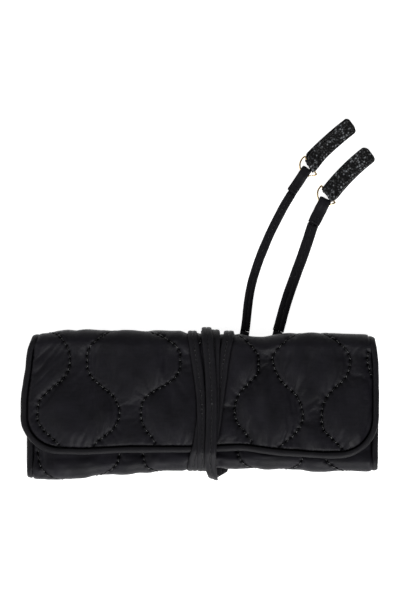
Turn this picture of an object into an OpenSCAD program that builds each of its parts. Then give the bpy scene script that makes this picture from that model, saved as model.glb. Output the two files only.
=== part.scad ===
// Quilted satin jewellery roll: a padded shell folded in three round a lined cavity, tied shut with a
// flat satin strap whose two tails end in D-rings and folded leather pulls.
// +X runs along the roll, +Y towards the rolled top edge, +Z up. The closed roll lies on z = 0 and the
// origin is under its centre. Lengths are in millimetres.

/* [Shell] */
// Width of the flap between its bindings
flap_w = 222; // [210:1:230]
// How much narrower the front panel is at each end
front_inset = 3; // [0:0.5:5]
// Height of the closed roll, from rolled edge to rolled edge
roll_h = 92; // [90:1:100]
// Length of the flap, from the top edge to its free edge
flap_l = 78.5; // [70:0.5:80]
// Length of the front panel, from the bottom edge to its free edge
front_l = 45; // [40:1:46]
// Padded and quilted layer
quilt_t = 5; // [4:0.5:5.5]
// Satin lining
lining_t = 0.6; // [0.4:0.1:0.6]
// Outer radius of the rolled corners
corner_r = 8; // [7.5:0.5:9]
// Radius of the flap's two free corners
flap_corner_r = 25; // [10:1:30]
// Width of the edge binding
binding_w = 4; // [3:0.5:5]
// Clear height between the back lining and the front lining
cavity_h = 14.5; // [14.5:0.5:20]

/* [Tie] */
// Width of the satin strap
strap_w = 6.4; // [5:0.2:8]
// Thickness of the satin strap
strap_t = 1.2; // [0.8:0.1:1.4]
// Width of the strap where it is pulled flat across the front
wrap_w = 7.4; // [6:0.2:8]
// Length of the folded and stitched end of each tail
fold_back = 15; // [12:1:16]

/* [D-rings and pulls] */
// Radius of the bow, to the middle of the wire
ring_r = 7; // [6.5:0.1:7.5]
// Radius of the wire
wire_r = 0.6; // [0.5:0.05:0.6]
// Width of a leather pull
pull_w = 10.2; // [9:0.1:10.5]
// Length of a leather pull
pull_l = 38; // [30:1:42]
// Thickness of a folded leather pull, both leaves
pull_t = 2.4; // [2:0.1:2.6]

/* [Inside] */
// Diameter of the padded ring bar
bar_d = 12; // [10:0.5:12]
// Thickness of the pocket cloth
pocket_t = 1; // [0.6:0.1:1]
// Distance of the zip below the middle of the roll
zip_drop = 26; // [24:1:27]
// Half the length of the zip's toothed run
zip_half = 97; // [90:1:98]
// Spacing of the zip's teeth
tooth_pitch = 3.2; // [2.8:0.1:4]
// Where the slider stands along the zip, closed
slider_x = -90; // [-90:1:-80]

/* [Hidden] */

SATIN = "#1d1d21";
LINING = "#26252b";
BINDING = "#151518";
STRAP = "#202024";
LEATHER = "#111111";
GOLD = "#c9a86a";
TAPE = "#17171a";

ARC_N = 8;
ROUND = 48;
SMALL = 32;
HUGE = 200;
GAP = 0.3;

// Heights of the stacked layers
shell_t = quilt_t + lining_t;
base_z = strap_t;
floor_z = base_z + shell_t;
front_under_z = floor_z + cavity_h;
front_z = front_under_z + shell_t;
flap_under_z = front_z + GAP;
flap_z = flap_under_z + shell_t;

// Centres of the rolled corners in the YZ plane
corner_y = roll_h / 2 - corner_r;
top_back_c = [corner_y, base_z + corner_r];
top_flap_c = [corner_y, flap_z - corner_r];
bottom_back_c = [-corner_y, base_z + corner_r];
bottom_front_c = [-corner_y, front_z - corner_r];

front_w = flap_w - 2 * front_inset;
flap_free_y = roll_h / 2 - flap_l;
front_free_y = front_l - roll_h / 2;
front_corner_r = 6;
wrap_gap = 0.15;
wrap_y = roll_h / 2 + wrap_gap + strap_t;

// Pockets and zip
pocket_z = floor_z + pocket_t;
pocket_half_w = 102;
pocket_half_h = 38;
slip_t = 0.5;
flap_pocket_y = 0.5;
front_pocket_y = -10;
hem_t = 0.4;
hem_w = 3;
zip_y = -zip_drop;
tape_z = floor_z + 1.2;
tape_t = 0.5;
tape_w = 3;
tooth_z = floor_z + 0.7;
tooth_t = 1.5;
tooth_w = 1.6;
tooth_near = 0.5;
tooth_far = 2.6;
slider_l = 9;
slider_half_w = 3.4;
slider_z = floor_z + 0.15;
slider_h = 2.8;
slider_plate = 0.4;
slider_post = 0.35;
slider_channel = 2.8;
slot_z = tape_z - 0.15;
slot_h = tape_t + 0.3;
pin_r = 0.5;
pin_clear = 0.05;
pin_z = slider_z + slider_h + 1.2;
ear_y = 1.5;
ear_t = 0.6;
ear_l = 1.4;
ear_h = 1.85;
zip_pull_l = 13;
zip_pull_w = 5;
zip_pull_t = 0.8;
zip_pull_neck = 3;
zip_pull_hole_r = 1.2;
knuckle_r = 1.05;
knuckle_w = 2 * ear_y - 0.2;
stop_l = 2;

// Ring bar, lying along the roll
bar_y = 22;
bar_z = pocket_z + GAP + bar_d / 2;
bar_left = -90;
bar_right = 84;
bar_tab_w = 9;
bar_tab_t = 1;
tab_end = 5.5;
tack_x = -97;
tack_r = 1.5;
tack_h = 1.8;
stud_x = 94;
stud_base_r = 4;
stud_base_h = 0.3;
stud_post_r = 1.6;
stud_post_h = 0.8;
stud_gap = 0.25;
stud_socket_h = 0.6;
stud_socket_r = 3;
stud_cap_r = 5;
stud_cap_h = 1;
stud_rivet_r = 1.2;
socket_z = pocket_z + stud_base_h + stud_post_h + stud_gap;
snap_tab_z = socket_z + stud_socket_h;

// Plan routes of the strap's runs across the front, from the top edge to the bottom edge
FRONT_RUNS = [
  [[-4.7, wrap_y], [-3.2, 32], [-1, 17], [0.6, 2], [0.4, -16], [0.6, -36], [1, -wrap_y]],
  [[3.8, wrap_y], [5.9, 32], [7.1, 17], [7.4, -3], [6.6, -16], [6.2, -27], [6.7, -wrap_y]],
  [[9.3, wrap_y], [8.4, 32], [7.4, 17], [6.8, 0]],
  [[18.7, wrap_y], [15.8, 32], [14, 19], [11.6, 2], [9.6, -16], [7, -34]],
  [[-1, -2], [-2.6, -16], [-4.2, -28], [-5.4, -wrap_y]]
];
// The runs across the back, two of which lead out to the tails
BACK_RUNS = [
  [[-5.4, -wrap_y], [-5.2, -20], [-4.8, 20], [-4.7, wrap_y]],
  [[6.7, -wrap_y], [5.5, -20], [4.4, 20], [3.8, wrap_y]],
  [[9, -4], [9.2, 20], [9.3, wrap_y]],
  [[12, -4], [15.4, 20], [18.7, wrap_y]]
];
TAIL_RUNS = [
  [[1, -wrap_y], [8, -22], [19, 14], [27, 38], [28.9, roll_h / 2]],
  [[14, -wrap_y], [20, -30], [34, 6], [47, 36], [50.4, roll_h / 2]]
];
// The tails, from the top edge to where each folds back on itself
TAIL_LEFT = [
  [28.9, roll_h / 2], [29.8, 53], [30.5, 60], [31.3, 66.5], [32.4, 73], [33.8, 79], [35.6, 85], [37.6, 91],
  [39.9, 97], [42.4, 103], [45, 109], [47.9, 115], [51, 121], [54.5, 127.6], [59.2, 135.4]
];
TAIL_RIGHT = [
  [50.4, roll_h / 2], [51.8, 51], [53.1, 56], [54.5, 61], [56, 66], [57.6, 71], [59.4, 76], [61.2, 81],
  [63, 86], [64.9, 91], [66.7, 96], [68.4, 101], [70.1, 106], [71.6, 110.8], [73.1, 115.3]
];
// Each end of the tie: heading of the strap's end, angle of the ring's straight bar, how far the pull
// leans from square to that bar, and how far it curves
END_LEFT = [56, -57, 14, 10];
END_RIGHT = [63.5, -51, 14, 16];
ring_z = strap_t + 0.05 + wire_r;
loop_slot_h = 2.15;
loop_slot_back = 5;
loop_slot_flat = 1.8;
loop_nose = 3.4;
loop_nose_ply = 1.2;
loop_ply = 0.9;
loop_slope = [2.5, 7];
pull_bore_r = wire_r + 0.05;
pull_fold_r = 1.8;
pull_under_z = 0.05;
pull_tip_r = 3;
PULL_N = 10;

function unit(v) = v / norm(v);
function left_of(v) = [-v[1], v[0]];
function heading(a) = [cos(a), sin(a)];

// Points of an arc about c
function arc(c, r, a0, a1) =
  [for (i = [0:ARC_N]) c + r * heading(a0 + (a1 - a0) * i / ARC_N)];

// Direction of a route at point i; the two ends take the given headings
function along(p, i, a0, a1) =
  i == 0 ? heading(a0) : i == len(p) - 1 ? heading(a1) : unit(p[i + 1] - p[i - 1]);

// Outline of a flat strap of width w laid along the route p
function ribbon(p, w, a0, a1) = concat(
  [for (i = [0:len(p) - 1]) p[i] + w / 2 * left_of(along(p, i, a0, a1))],
  [for (i = [len(p) - 1:-1:0]) p[i] - w / 2 * left_of(along(p, i, a0, a1))]
);

// A layer of each shell panel in the YZ plane, from depth d0 to d1 below the outer face.
// Neighbouring panels meet on the 45 degree line of the corner they share.
function back_section(d0, d1) = concat(
  arc(bottom_back_c, corner_r - d0, 225, 270),
  arc(top_back_c, corner_r - d0, 270, 315),
  arc(top_back_c, corner_r - d1, 315, 270),
  arc(bottom_back_c, corner_r - d1, 270, 225)
);
function top_spine_section(d0, d1) = concat(
  arc(top_back_c, corner_r - d0, 315, 360),
  arc(top_flap_c, corner_r - d0, 0, 45),
  arc(top_flap_c, corner_r - d1, 45, 0),
  arc(top_back_c, corner_r - d1, 360, 315)
);
function flap_section(d0, d1) = concat(
  arc(top_flap_c, corner_r - d0, 45, 90),
  [[-roll_h, flap_z - d0], [-roll_h, flap_z - d1]],
  arc(top_flap_c, corner_r - d1, 90, 45)
);
function bottom_spine_section(d0, d1) = concat(
  arc(bottom_front_c, corner_r - d0, 135, 180),
  arc(bottom_back_c, corner_r - d0, 180, 225),
  arc(bottom_back_c, corner_r - d1, 225, 180),
  arc(bottom_front_c, corner_r - d1, 180, 135)
);
function front_section(d0, d1) = concat(
  arc(bottom_front_c, corner_r - d1, 135, 90),
  [[roll_h, front_z - d1], [roll_h, front_z - d0]],
  arc(bottom_front_c, corner_r - d0, 90, 135)
);

// The strap's way round the closed roll, over the flap and down both rolled edges
function wrap_side(o) = concat(
  [[roll_h / 2 + o, base_z]],
  arc(top_flap_c, corner_r + o, 0, 90),
  [[flap_free_y, flap_z + o]],
  arc(bottom_front_c, corner_r + o, 90, 180),
  [[-roll_h / 2 - o, base_z]]
);
function reversed(p) = [for (i = [len(p) - 1:-1:0]) p[i]];

// Runs a YZ section along X
module along_x(section, w) {
  rotate([90, 0, 90])
    linear_extrude(w, center = true)
      polygon(section);
}

// Plan outlines, grown by e on every free side
module back_plan(e) {
  polygon([
    [-front_w / 2 - e, -roll_h], [front_w / 2 + e, -roll_h],
    [front_w / 2 + e, -roll_h / 2], [flap_w / 2 + e, roll_h / 2],
    [flap_w / 2 + e, roll_h], [-flap_w / 2 - e, roll_h],
    [-flap_w / 2 - e, roll_h / 2], [-front_w / 2 - e, -roll_h / 2]
  ]);
}

module free_plan(w, y_free, y_far, r, e) {
  s = sign(y_far - y_free);
  x = w / 2 + e;
  y = y_free - s * e;
  polygon(concat(
    [[-x, y_far]],
    arc([-x + r + e, y + s * (r + e)], r + e, 180, 180 + s * 90),
    arc([x - r - e, y + s * (r + e)], r + e, -s * 90, 0),
    [[x, y_far]]
  ));
}

module flap_plan(e) {
  free_plan(flap_w, flap_free_y + binding_w, roll_h, flap_corner_r - binding_w, e);
}

module front_plan(e) {
  free_plan(front_w, front_free_y - binding_w, -roll_h, front_corner_r - binding_w, e);
}

// Cuts a section to the plan outlines that its children draw
module panel(section) {
  intersection() {
    along_x(section, 2 * HUGE);
    linear_extrude(HUGE)
      children();
  }
}

module binding_pair(section, w) {
  for (side = [-1, 1])
    translate([side * (w + binding_w) / 2, 0, 0])
      along_x(section, binding_w);
}

module back_quilt() {
  color(SATIN)
    panel(back_section(0, quilt_t))
      back_plan(0);
}

module back_lining() {
  color(LINING)
    panel(back_section(quilt_t, shell_t))
      back_plan(0);
}

module back_binding() {
  color(BINDING)
    panel(back_section(0, shell_t))
      difference() {
        back_plan(binding_w);
        back_plan(0);
      }
}

module top_spine_quilt() {
  color(SATIN)
    along_x(top_spine_section(0, quilt_t), flap_w);
}

module top_spine_lining() {
  color(LINING)
    along_x(top_spine_section(quilt_t, shell_t), flap_w);
}

module top_spine_binding() {
  color(BINDING)
    binding_pair(top_spine_section(0, shell_t), flap_w);
}

module flap_quilt() {
  color(SATIN)
    panel(flap_section(0, quilt_t))
      flap_plan(0);
}

module flap_lining() {
  color(LINING)
    panel(flap_section(quilt_t, shell_t))
      flap_plan(0);
}

module flap_binding() {
  color(BINDING)
    panel(flap_section(0, shell_t))
      difference() {
        flap_plan(binding_w);
        flap_plan(0);
      }
}

// A flat pocket sewn to a lining, and the bound hem along its mouth
module pocket_sheet(y0, y1, z, t) {
  translate([-pocket_half_w, y0, z])
    cube([2 * pocket_half_w, y1 - y0, t]);
}

module flap_pocket() {
  color(LINING)
    pocket_sheet(flap_pocket_y, pocket_half_h, flap_under_z - slip_t, slip_t);
}

module flap_pocket_hem() {
  color(BINDING)
    pocket_sheet(flap_pocket_y, flap_pocket_y + hem_w, flap_under_z - slip_t - hem_t, hem_t);
}

module bottom_spine_quilt() {
  color(SATIN)
    along_x(bottom_spine_section(0, quilt_t), front_w);
}

module bottom_spine_lining() {
  color(LINING)
    along_x(bottom_spine_section(quilt_t, shell_t), front_w);
}

module bottom_spine_binding() {
  color(BINDING)
    binding_pair(bottom_spine_section(0, shell_t), front_w);
}

module front_quilt() {
  color(SATIN)
    panel(front_section(0, quilt_t))
      front_plan(0);
}

module front_lining() {
  color(LINING)
    panel(front_section(quilt_t, shell_t))
      front_plan(0);
}

module front_binding() {
  color(BINDING)
    panel(front_section(0, shell_t))
      difference() {
        front_plan(binding_w);
        front_plan(0);
      }
}

module front_pocket() {
  color(LINING)
    pocket_sheet(-pocket_half_h, front_pocket_y, front_under_z - slip_t, slip_t);
}

module front_pocket_hem() {
  color(BINDING)
    pocket_sheet(front_pocket_y - hem_w, front_pocket_y, front_under_z - slip_t - hem_t, hem_t);
}

module zip_pocket_lower() {
  color(LINING)
    pocket_sheet(-pocket_half_h, zip_y - tooth_far - tape_w, floor_z, pocket_t);
}

module zip_pocket_upper() {
  color(LINING)
    pocket_sheet(zip_y + tooth_far + tape_w, pocket_half_h, floor_z, pocket_t);
}

module zip_tape(side) {
  y = side < 0 ? zip_y - tooth_far - tape_w : zip_y + tooth_far;
  translate([-pocket_half_w, y, tape_z])
    cube([2 * pocket_half_w, tape_w, tape_t]);
}

module zip_tape_lower() {
  color(TAPE)
    zip_tape(-1);
}

module zip_tape_upper() {
  color(TAPE)
    zip_tape(1);
}

// One row of teeth; the rows stand half a pitch apart
module zip_teeth(side) {
  y = side < 0 ? zip_y - tooth_far : zip_y + tooth_near;
  first = -zip_half + (side + 3) * tooth_pitch / 4;
  for (x = [first:tooth_pitch:zip_half - tooth_pitch])
    translate([x, y, tooth_z])
      cube([tooth_w, tooth_far - tooth_near, tooth_t]);
}

module zip_teeth_lower() {
  color(GOLD)
    zip_teeth(-1);
}

module zip_teeth_upper() {
  color(GOLD)
    zip_teeth(1);
}

module zip_end_stops() {
  color(GOLD)
    for (side = [-1, 1])
      translate([side * (zip_half + stop_l / 2) - stop_l / 2, zip_y - tooth_far, tooth_z])
        cube([stop_l, 2 * tooth_far, tooth_t]);
}

// The slider: two plates joined by a post that runs between the rows, flanges that leave slots for the
// tapes, and two ears that hold the pull's pin
module zip_slider() {
  color(GOLD)
    translate([slider_x, zip_y, 0])
      union() {
        difference() {
          translate([-slider_l / 2, -slider_half_w, slider_z])
            cube([slider_l, 2 * slider_half_w, slider_h]);
          for (side = [-1, 1])
            translate([-slider_l, side * (slider_post + HUGE / 2) - HUGE / 2, slot_z])
              cube([2 * slider_l, HUGE, slot_h]);
          for (side = [-1, 1])
            translate([-slider_l, side < 0 ? -slider_channel : slider_post, slider_z + slider_plate])
              cube([2 * slider_l, slider_channel - slider_post, slider_h - 2 * slider_plate]);
        }
        for (side = [-1, 1])
          translate([-ear_l / 2, side * (ear_y + ear_t / 2) - ear_t / 2, slider_z + slider_h])
            cube([ear_l, ear_t, ear_h]);
        translate([0, 0, pin_z])
          rotate([90, 0, 0])
            cylinder(r = pin_r, h = 2 * ear_y + ear_t, center = true, $fn = SMALL);
      }
}

// The pull turns on the slider's pin
module zip_pull() {
  color(GOLD)
    translate([slider_x, zip_y, pin_z])
      difference() {
        union() {
          rotate([90, 0, 0])
            cylinder(r = knuckle_r, h = knuckle_w, center = true, $fn = SMALL);
          translate([0, -knuckle_w / 2, -zip_pull_t / 2])
            cube([zip_pull_neck + 1, knuckle_w, zip_pull_t]);
          translate([zip_pull_neck, -zip_pull_w / 2, -zip_pull_t / 2])
            cube([zip_pull_l - zip_pull_neck, zip_pull_w, zip_pull_t]);
        }
        rotate([90, 0, 0])
          cylinder(r = pin_r + pin_clear, h = zip_pull_w, center = true, $fn = SMALL);
        translate([zip_pull_l - 2 * zip_pull_hole_r, 0, 0])
          cylinder(r = zip_pull_hole_r, h = 2, center = true, $fn = SMALL);
      }
}

// Padded roll with a flat tab at each end: sewn down at the left, studded at the right
module ring_bar() {
  color(LINING)
    difference() {
      union() {
        translate([bar_left, bar_y, bar_z])
          rotate([0, 90, 0])
            cylinder(d = bar_d, h = bar_right - bar_left, $fn = ROUND);
        for (x = [bar_left, bar_right])
          translate([x, bar_y, bar_z])
            sphere(d = bar_d, $fn = ROUND);
        translate([tack_x - tab_end, bar_y - bar_tab_w / 2, pocket_z + GAP])
          cube([bar_left - tack_x + tab_end, bar_tab_w, bar_tab_t]);
        translate([bar_right, bar_y - bar_tab_w / 2, snap_tab_z])
          cube([stud_x + tab_end - bar_right, bar_tab_w, bar_tab_t]);
      }
      translate([tack_x, bar_y, pocket_z])
        cylinder(r = tack_r + pin_clear, h = bar_d / 4, $fn = SMALL);
      translate([stud_x, bar_y, snap_tab_z - 1])
        cylinder(r = stud_rivet_r, h = bar_d / 4, $fn = SMALL);
    }
}

module ring_bar_bartack() {
  color(BINDING)
    translate([tack_x, bar_y, pocket_z])
      cylinder(r = tack_r, h = tack_h, $fn = SMALL);
}

module press_stud_cap() {
  color(GOLD)
    translate([stud_x, bar_y, 0])
      union() {
        translate([0, 0, socket_z])
          cylinder(r = stud_socket_r, h = stud_socket_h, $fn = ROUND);
        translate([0, 0, socket_z])
          cylinder(r = stud_rivet_r, h = stud_socket_h + bar_tab_t + stud_cap_h / 2, $fn = SMALL);
        translate([0, 0, snap_tab_z + bar_tab_t])
          cylinder(r1 = stud_cap_r, r2 = stud_cap_r - 1, h = stud_cap_h, $fn = ROUND);
      }
}

module press_stud_post() {
  color(GOLD)
    translate([stud_x, bar_y, pocket_z])
      union() {
        cylinder(r = stud_base_r, h = stud_base_h, $fn = ROUND);
        cylinder(r = stud_post_r, h = stud_base_h + stud_post_h, $fn = SMALL);
      }
}

module tie_back_runs() {
  color(STRAP)
    union() {
      for (run = BACK_RUNS)
        linear_extrude(strap_t)
          polygon(ribbon(run, wrap_w, 90, 90));
      for (run = TAIL_RUNS)
        linear_extrude(strap_t)
          polygon(ribbon(run, strap_w, 90, 90));
    }
}

module tie_front_runs() {
  color(STRAP)
    for (run = FRONT_RUNS)
      intersection() {
        along_x(concat(wrap_side(wrap_gap), reversed(wrap_side(wrap_gap + strap_t))), 2 * HUGE);
        translate([0, 0, base_z])
          linear_extrude(HUGE)
            polygon(ribbon(run, wrap_w, -90, -90));
      }
}

module tie_tail(route, end) {
  linear_extrude(strap_t)
    polygon(ribbon(route, strap_w, 90, end[0]));
}

module tie_tail_left() {
  color(STRAP)
    tie_tail(TAIL_LEFT, END_LEFT);
}

module tie_tail_right() {
  color(STRAP)
    tie_tail(TAIL_RIGHT, END_RIGHT);
}

// Where the ring turns in the strap's end: the middle of the wire, fold_back beyond the tail
function ring_pivot(route, end) = route[len(route) - 1] + fold_back * heading(end[0]);
// Middle of the ring's straight bar, one bow radius beyond the pivot
function ring_centre(route, end) = ring_pivot(route, end) + ring_r * heading(end[0]);

// The strap's end in side view, its length along the first axis with the pivot at zero: the strap runs
// under the wire, round the nose and back over it, and is stitched down on itself
module loop_side() {
  top = ring_z - wire_r - 0.05 + loop_slot_h;
  nose_r = (top + loop_ply) / 2;
  difference() {
    union() {
      polygon([
        [-fold_back, 0], [loop_nose - nose_r, 0], [loop_nose - nose_r, top + loop_ply],
        [-loop_slope[0], top + loop_ply], [-loop_slope[1], 2 * strap_t], [-fold_back, 2 * strap_t]
      ]);
      translate([loop_nose - nose_r, nose_r])
        circle(r = nose_r, $fn = ROUND);
    }
    polygon([
      [-loop_slot_back, strap_t], [loop_nose - loop_nose_ply, strap_t],
      [loop_nose - loop_nose_ply, top], [-loop_slot_flat, top]
    ]);
  }
}

module tail_loop(route, end) {
  p = ring_pivot(route, end);
  translate([p[0], p[1], 0])
    rotate([0, 0, end[0]])
      rotate([90, 0, 0])
        linear_extrude(strap_w, center = true)
          loop_side();
}

module tail_loop_left() {
  color(STRAP)
    tail_loop(TAIL_LEFT, END_LEFT);
}

module tail_loop_right() {
  color(STRAP)
    tail_loop(TAIL_RIGHT, END_RIGHT);
}

// Puts children at the ring's centre, with their X axis along its straight bar and +Y towards the pull
module at_ring(route, end) {
  c = ring_centre(route, end);
  translate([c[0], c[1], ring_z])
    rotate([0, 0, end[1]])
      children();
}

module d_ring() {
  union() {
    rotate([0, 0, 180])
      rotate_extrude(angle = 180, $fn = ROUND)
        translate([ring_r, 0])
          circle(r = wire_r, $fn = SMALL);
    rotate([0, 90, 0])
      cylinder(r = wire_r, h = 2 * ring_r, center = true, $fn = SMALL);
    for (side = [-1, 1])
      translate([side * ring_r, 0, 0])
        sphere(r = wire_r, $fn = SMALL);
  }
}

module d_ring_left() {
  color(GOLD)
    at_ring(TAIL_LEFT, END_LEFT)
      d_ring();
}

module d_ring_right() {
  color(GOLD)
    at_ring(TAIL_RIGHT, END_RIGHT)
      d_ring();
}

// Middle line of a pull: an arc that starts lean degrees left of +Y and turns right by curve degrees
function pull_point(t, lean, curve) =
  pull_l / (curve * PI / 180) * (heading(lean) - heading(lean - curve * t));
function pull_edge(side, lean, curve) = [
  for (i = [1:PULL_N])
    let (t = i / PULL_N * (1 - pull_tip_r / pull_l))
    pull_point(t, lean, curve) + side * pull_w / 2 * heading(lean - curve * t)
];
function pull_tip(lean, curve) =
  let (e = pull_point(1, lean, curve), u = heading(lean - curve), h = pull_w / 2 - pull_tip_r)
  concat(
    arc(e - pull_tip_r * left_of(u) + h * u, pull_tip_r, lean - curve, lean - curve + 90),
    arc(e - pull_tip_r * left_of(u) - h * u, pull_tip_r, lean - curve + 90, lean - curve + 180)
  );

// Leather folded over the ring's straight bar, both leaves stitched flat together
module leather_pull(end) {
  lean = end[2];
  curve = end[3];
  difference() {
    union() {
      rotate([0, 90, 0])
        cylinder(r = pull_fold_r, h = pull_w, center = true, $fn = ROUND);
      translate([0, 0, pull_under_z - ring_z])
        linear_extrude(pull_t)
          polygon(concat(
            [[pull_w / 2, 0]],
            pull_edge(1, lean, curve),
            pull_tip(lean, curve),
            reversed(pull_edge(-1, lean, curve)),
            [[-pull_w / 2, 0]]
          ));
    }
    rotate([0, 90, 0])
      cylinder(r = pull_bore_r, h = 2 * pull_w, center = true, $fn = SMALL);
  }
}

module leather_pull_left() {
  color(LEATHER)
    at_ring(TAIL_LEFT, END_LEFT)
      leather_pull(END_LEFT);
}

module leather_pull_right() {
  color(LEATHER)
    at_ring(TAIL_RIGHT, END_RIGHT)
      leather_pull(END_RIGHT);
}

back_quilt();
back_lining();
back_binding();
top_spine_quilt();
top_spine_lining();
top_spine_binding();
flap_quilt();
flap_lining();
flap_binding();
flap_pocket();
flap_pocket_hem();
bottom_spine_quilt();
bottom_spine_lining();
bottom_spine_binding();
front_quilt();
front_lining();
front_binding();
front_pocket();
front_pocket_hem();
zip_pocket_lower();
zip_pocket_upper();
zip_tape_lower();
zip_tape_upper();
zip_teeth_lower();
zip_teeth_upper();
zip_end_stops();
zip_slider();
zip_pull();
ring_bar();
ring_bar_bartack();
press_stud_cap();
press_stud_post();
tie_back_runs();
tie_front_runs();
tie_tail_left();
tie_tail_right();
tail_loop_left();
tail_loop_right();
d_ring_left();
d_ring_right();
leather_pull_left();
leather_pull_right();
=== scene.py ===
import bmesh
import bpy
import math
import numpy as np
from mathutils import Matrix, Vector


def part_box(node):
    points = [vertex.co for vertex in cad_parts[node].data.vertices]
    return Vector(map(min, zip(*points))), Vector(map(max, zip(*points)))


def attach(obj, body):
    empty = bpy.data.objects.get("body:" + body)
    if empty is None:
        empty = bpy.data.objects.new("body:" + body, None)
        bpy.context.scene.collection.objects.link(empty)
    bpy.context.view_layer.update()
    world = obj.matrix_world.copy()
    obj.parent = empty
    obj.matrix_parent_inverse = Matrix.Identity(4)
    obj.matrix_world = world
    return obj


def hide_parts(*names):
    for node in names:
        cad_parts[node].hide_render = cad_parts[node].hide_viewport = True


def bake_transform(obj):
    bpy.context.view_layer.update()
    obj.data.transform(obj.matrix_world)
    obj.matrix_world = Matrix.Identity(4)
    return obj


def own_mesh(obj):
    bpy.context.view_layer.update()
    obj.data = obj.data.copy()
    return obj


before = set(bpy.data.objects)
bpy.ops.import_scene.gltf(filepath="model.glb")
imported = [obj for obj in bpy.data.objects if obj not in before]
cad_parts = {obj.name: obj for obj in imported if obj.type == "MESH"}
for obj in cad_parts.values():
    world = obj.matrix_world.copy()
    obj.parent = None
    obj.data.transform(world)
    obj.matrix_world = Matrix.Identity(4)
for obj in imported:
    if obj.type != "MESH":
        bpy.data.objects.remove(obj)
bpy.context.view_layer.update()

MM = 0.001

# ---- sizes, in millimetres, as in the CAD model
FLAP_W, FRONT_W, ROLL_H = 222.0, 216.0, 92.0
FLAP_L, FRONT_L = 78.5, 45.0
QUILT_T, LINING_T, CORNER_R = 5.0, 0.6, 8.0
SHELL_T = QUILT_T + LINING_T
FLAP_R, FRONT_R, BINDING = 25.0, 6.0, 4.0
BASE_Z, FRONT_Z, FLAP_Z = 1.2, 26.9, 32.8
STRAP_W, WRAP_W, FOLD_BACK = 6.4, 7.4, 15.0
RING_R, RING_Z = 7.0, 1.85
PULL_L = 38.0
CY = ROLL_H / 2 - CORNER_R
FLAP_FREE, FRONT_FREE = ROLL_H / 2 - FLAP_L, FRONT_L - ROLL_H / 2

# the tails' routes over the table; at each one's end, in degrees: the strap's heading, the ring's straight
# bar's heading, how far the pull leans on that bar, and how much it curves
TAIL_LEFT = [(28.9, 46), (29.8, 53), (30.5, 60), (31.3, 66.5), (32.4, 73), (33.8, 79), (35.6, 85), (37.6, 91),
             (39.9, 97), (42.4, 103), (45, 109), (47.9, 115), (51, 121), (54.5, 127.6), (59.2, 135.4)]
TAIL_RIGHT = [(50.4, 46), (51.8, 51), (53.1, 56), (54.5, 61), (56, 66), (57.6, 71), (59.4, 76), (61.2, 81),
              (63, 86), (64.9, 91), (66.7, 96), (68.4, 101), (70.1, 106), (71.6, 110.8), (73.1, 115.3)]
END_LEFT = (56, -57, 14, 10)
END_RIGHT = (63.5, -51, 14, 16)


# ---- small helpers
def smoothstep(t):
    t = np.clip(t, 0.0, 1.0)
    return t * t * (3 - 2 * t)


def heading(a):
    a = np.radians(a)
    return np.array([np.cos(a), np.sin(a)])


def soft_curve(points, blur):
    """A smooth function of one number through given points."""
    xs = np.arange(-160.0, 160.01, 0.5)
    ys = np.interp(xs, *zip(*points))
    kernel = np.exp(-0.5 * (np.arange(-60, 61) * 0.5 / blur) ** 2)
    ys = np.convolve(np.pad(ys, 60, mode="edge"), kernel / kernel.sum(), mode="valid")
    return lambda x: np.interp(x, xs, ys)


def spline(points, step):
    """Catmull-Rom through the points, resampled at an even step."""
    p = np.asarray(points, float)
    p = np.vstack([2 * p[0] - p[1], p, 2 * p[-1] - p[-2]])
    out = []
    t = np.linspace(0, 1, 24, endpoint=False)[:, None]
    for i in range(1, len(p) - 2):
        a, b, c, d = p[i - 1], p[i], p[i + 1], p[i + 2]
        square, cube = 2 * a - 5 * b + 4 * c - d, 3 * b - a - 3 * c + d
        out.append(0.5 * (2 * b + (c - a) * t + square * t**2 + cube * t**3))
    return resample(np.vstack(out + [p[-2][None]]), step)


def walked(line):
    """The distance gone along a line, at each of its points."""
    return np.concatenate([[0], np.cumsum(np.linalg.norm(np.diff(line, axis=0), axis=1))])


def at_distance(q, gone, values):
    """The values, one row per point of a line, at the distances q along it."""
    return np.stack([np.interp(q, gone, values[:, c]) for c in range(values.shape[1])], 1)


def resample(line, step):
    line = np.asarray(line, float)
    gone = walked(line)
    n = max(2, int(round(gone[-1] / step)) + 1)
    return at_distance(np.linspace(0, gone[-1], n), gone, line)


def length_of(line):
    return float(np.linalg.norm(np.diff(np.asarray(line, float), axis=0), axis=1).sum())


def unit(v):
    return v / np.maximum(np.linalg.norm(v, axis=-1, keepdims=True), 1e-12)


def value_noise(u, v, scale, seed):
    """Smooth noise from -1 to 1 on a lattice of the given scale."""
    r = np.random.default_rng(seed).uniform(-1, 1, (64, 64))
    a, b = np.asarray(u) / scale + 17.3, np.asarray(v) / scale + 11.7
    i, j = np.floor(a).astype(int), np.floor(b).astype(int)
    s, t = a - i, b - j
    s, t = smoothstep(s), smoothstep(t)
    g = lambda p, q: r[p % 64, q % 64]
    return (g(i, j) * (1 - s) + g(i + 1, j) * s) * (1 - t) + (g(i, j + 1) * (1 - s) + g(i + 1, j + 1) * s) * t


def grid_quads(rows, columns):
    """The corners of every cell in a grid of points."""
    idx = np.arange(rows * columns).reshape(rows, columns)
    return np.stack([idx[:-1, :-1], idx[:-1, 1:], idx[1:, 1:], idx[1:, :-1]], -1)


def link(o):
    bpy.context.scene.collection.objects.link(o)
    return o


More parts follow.
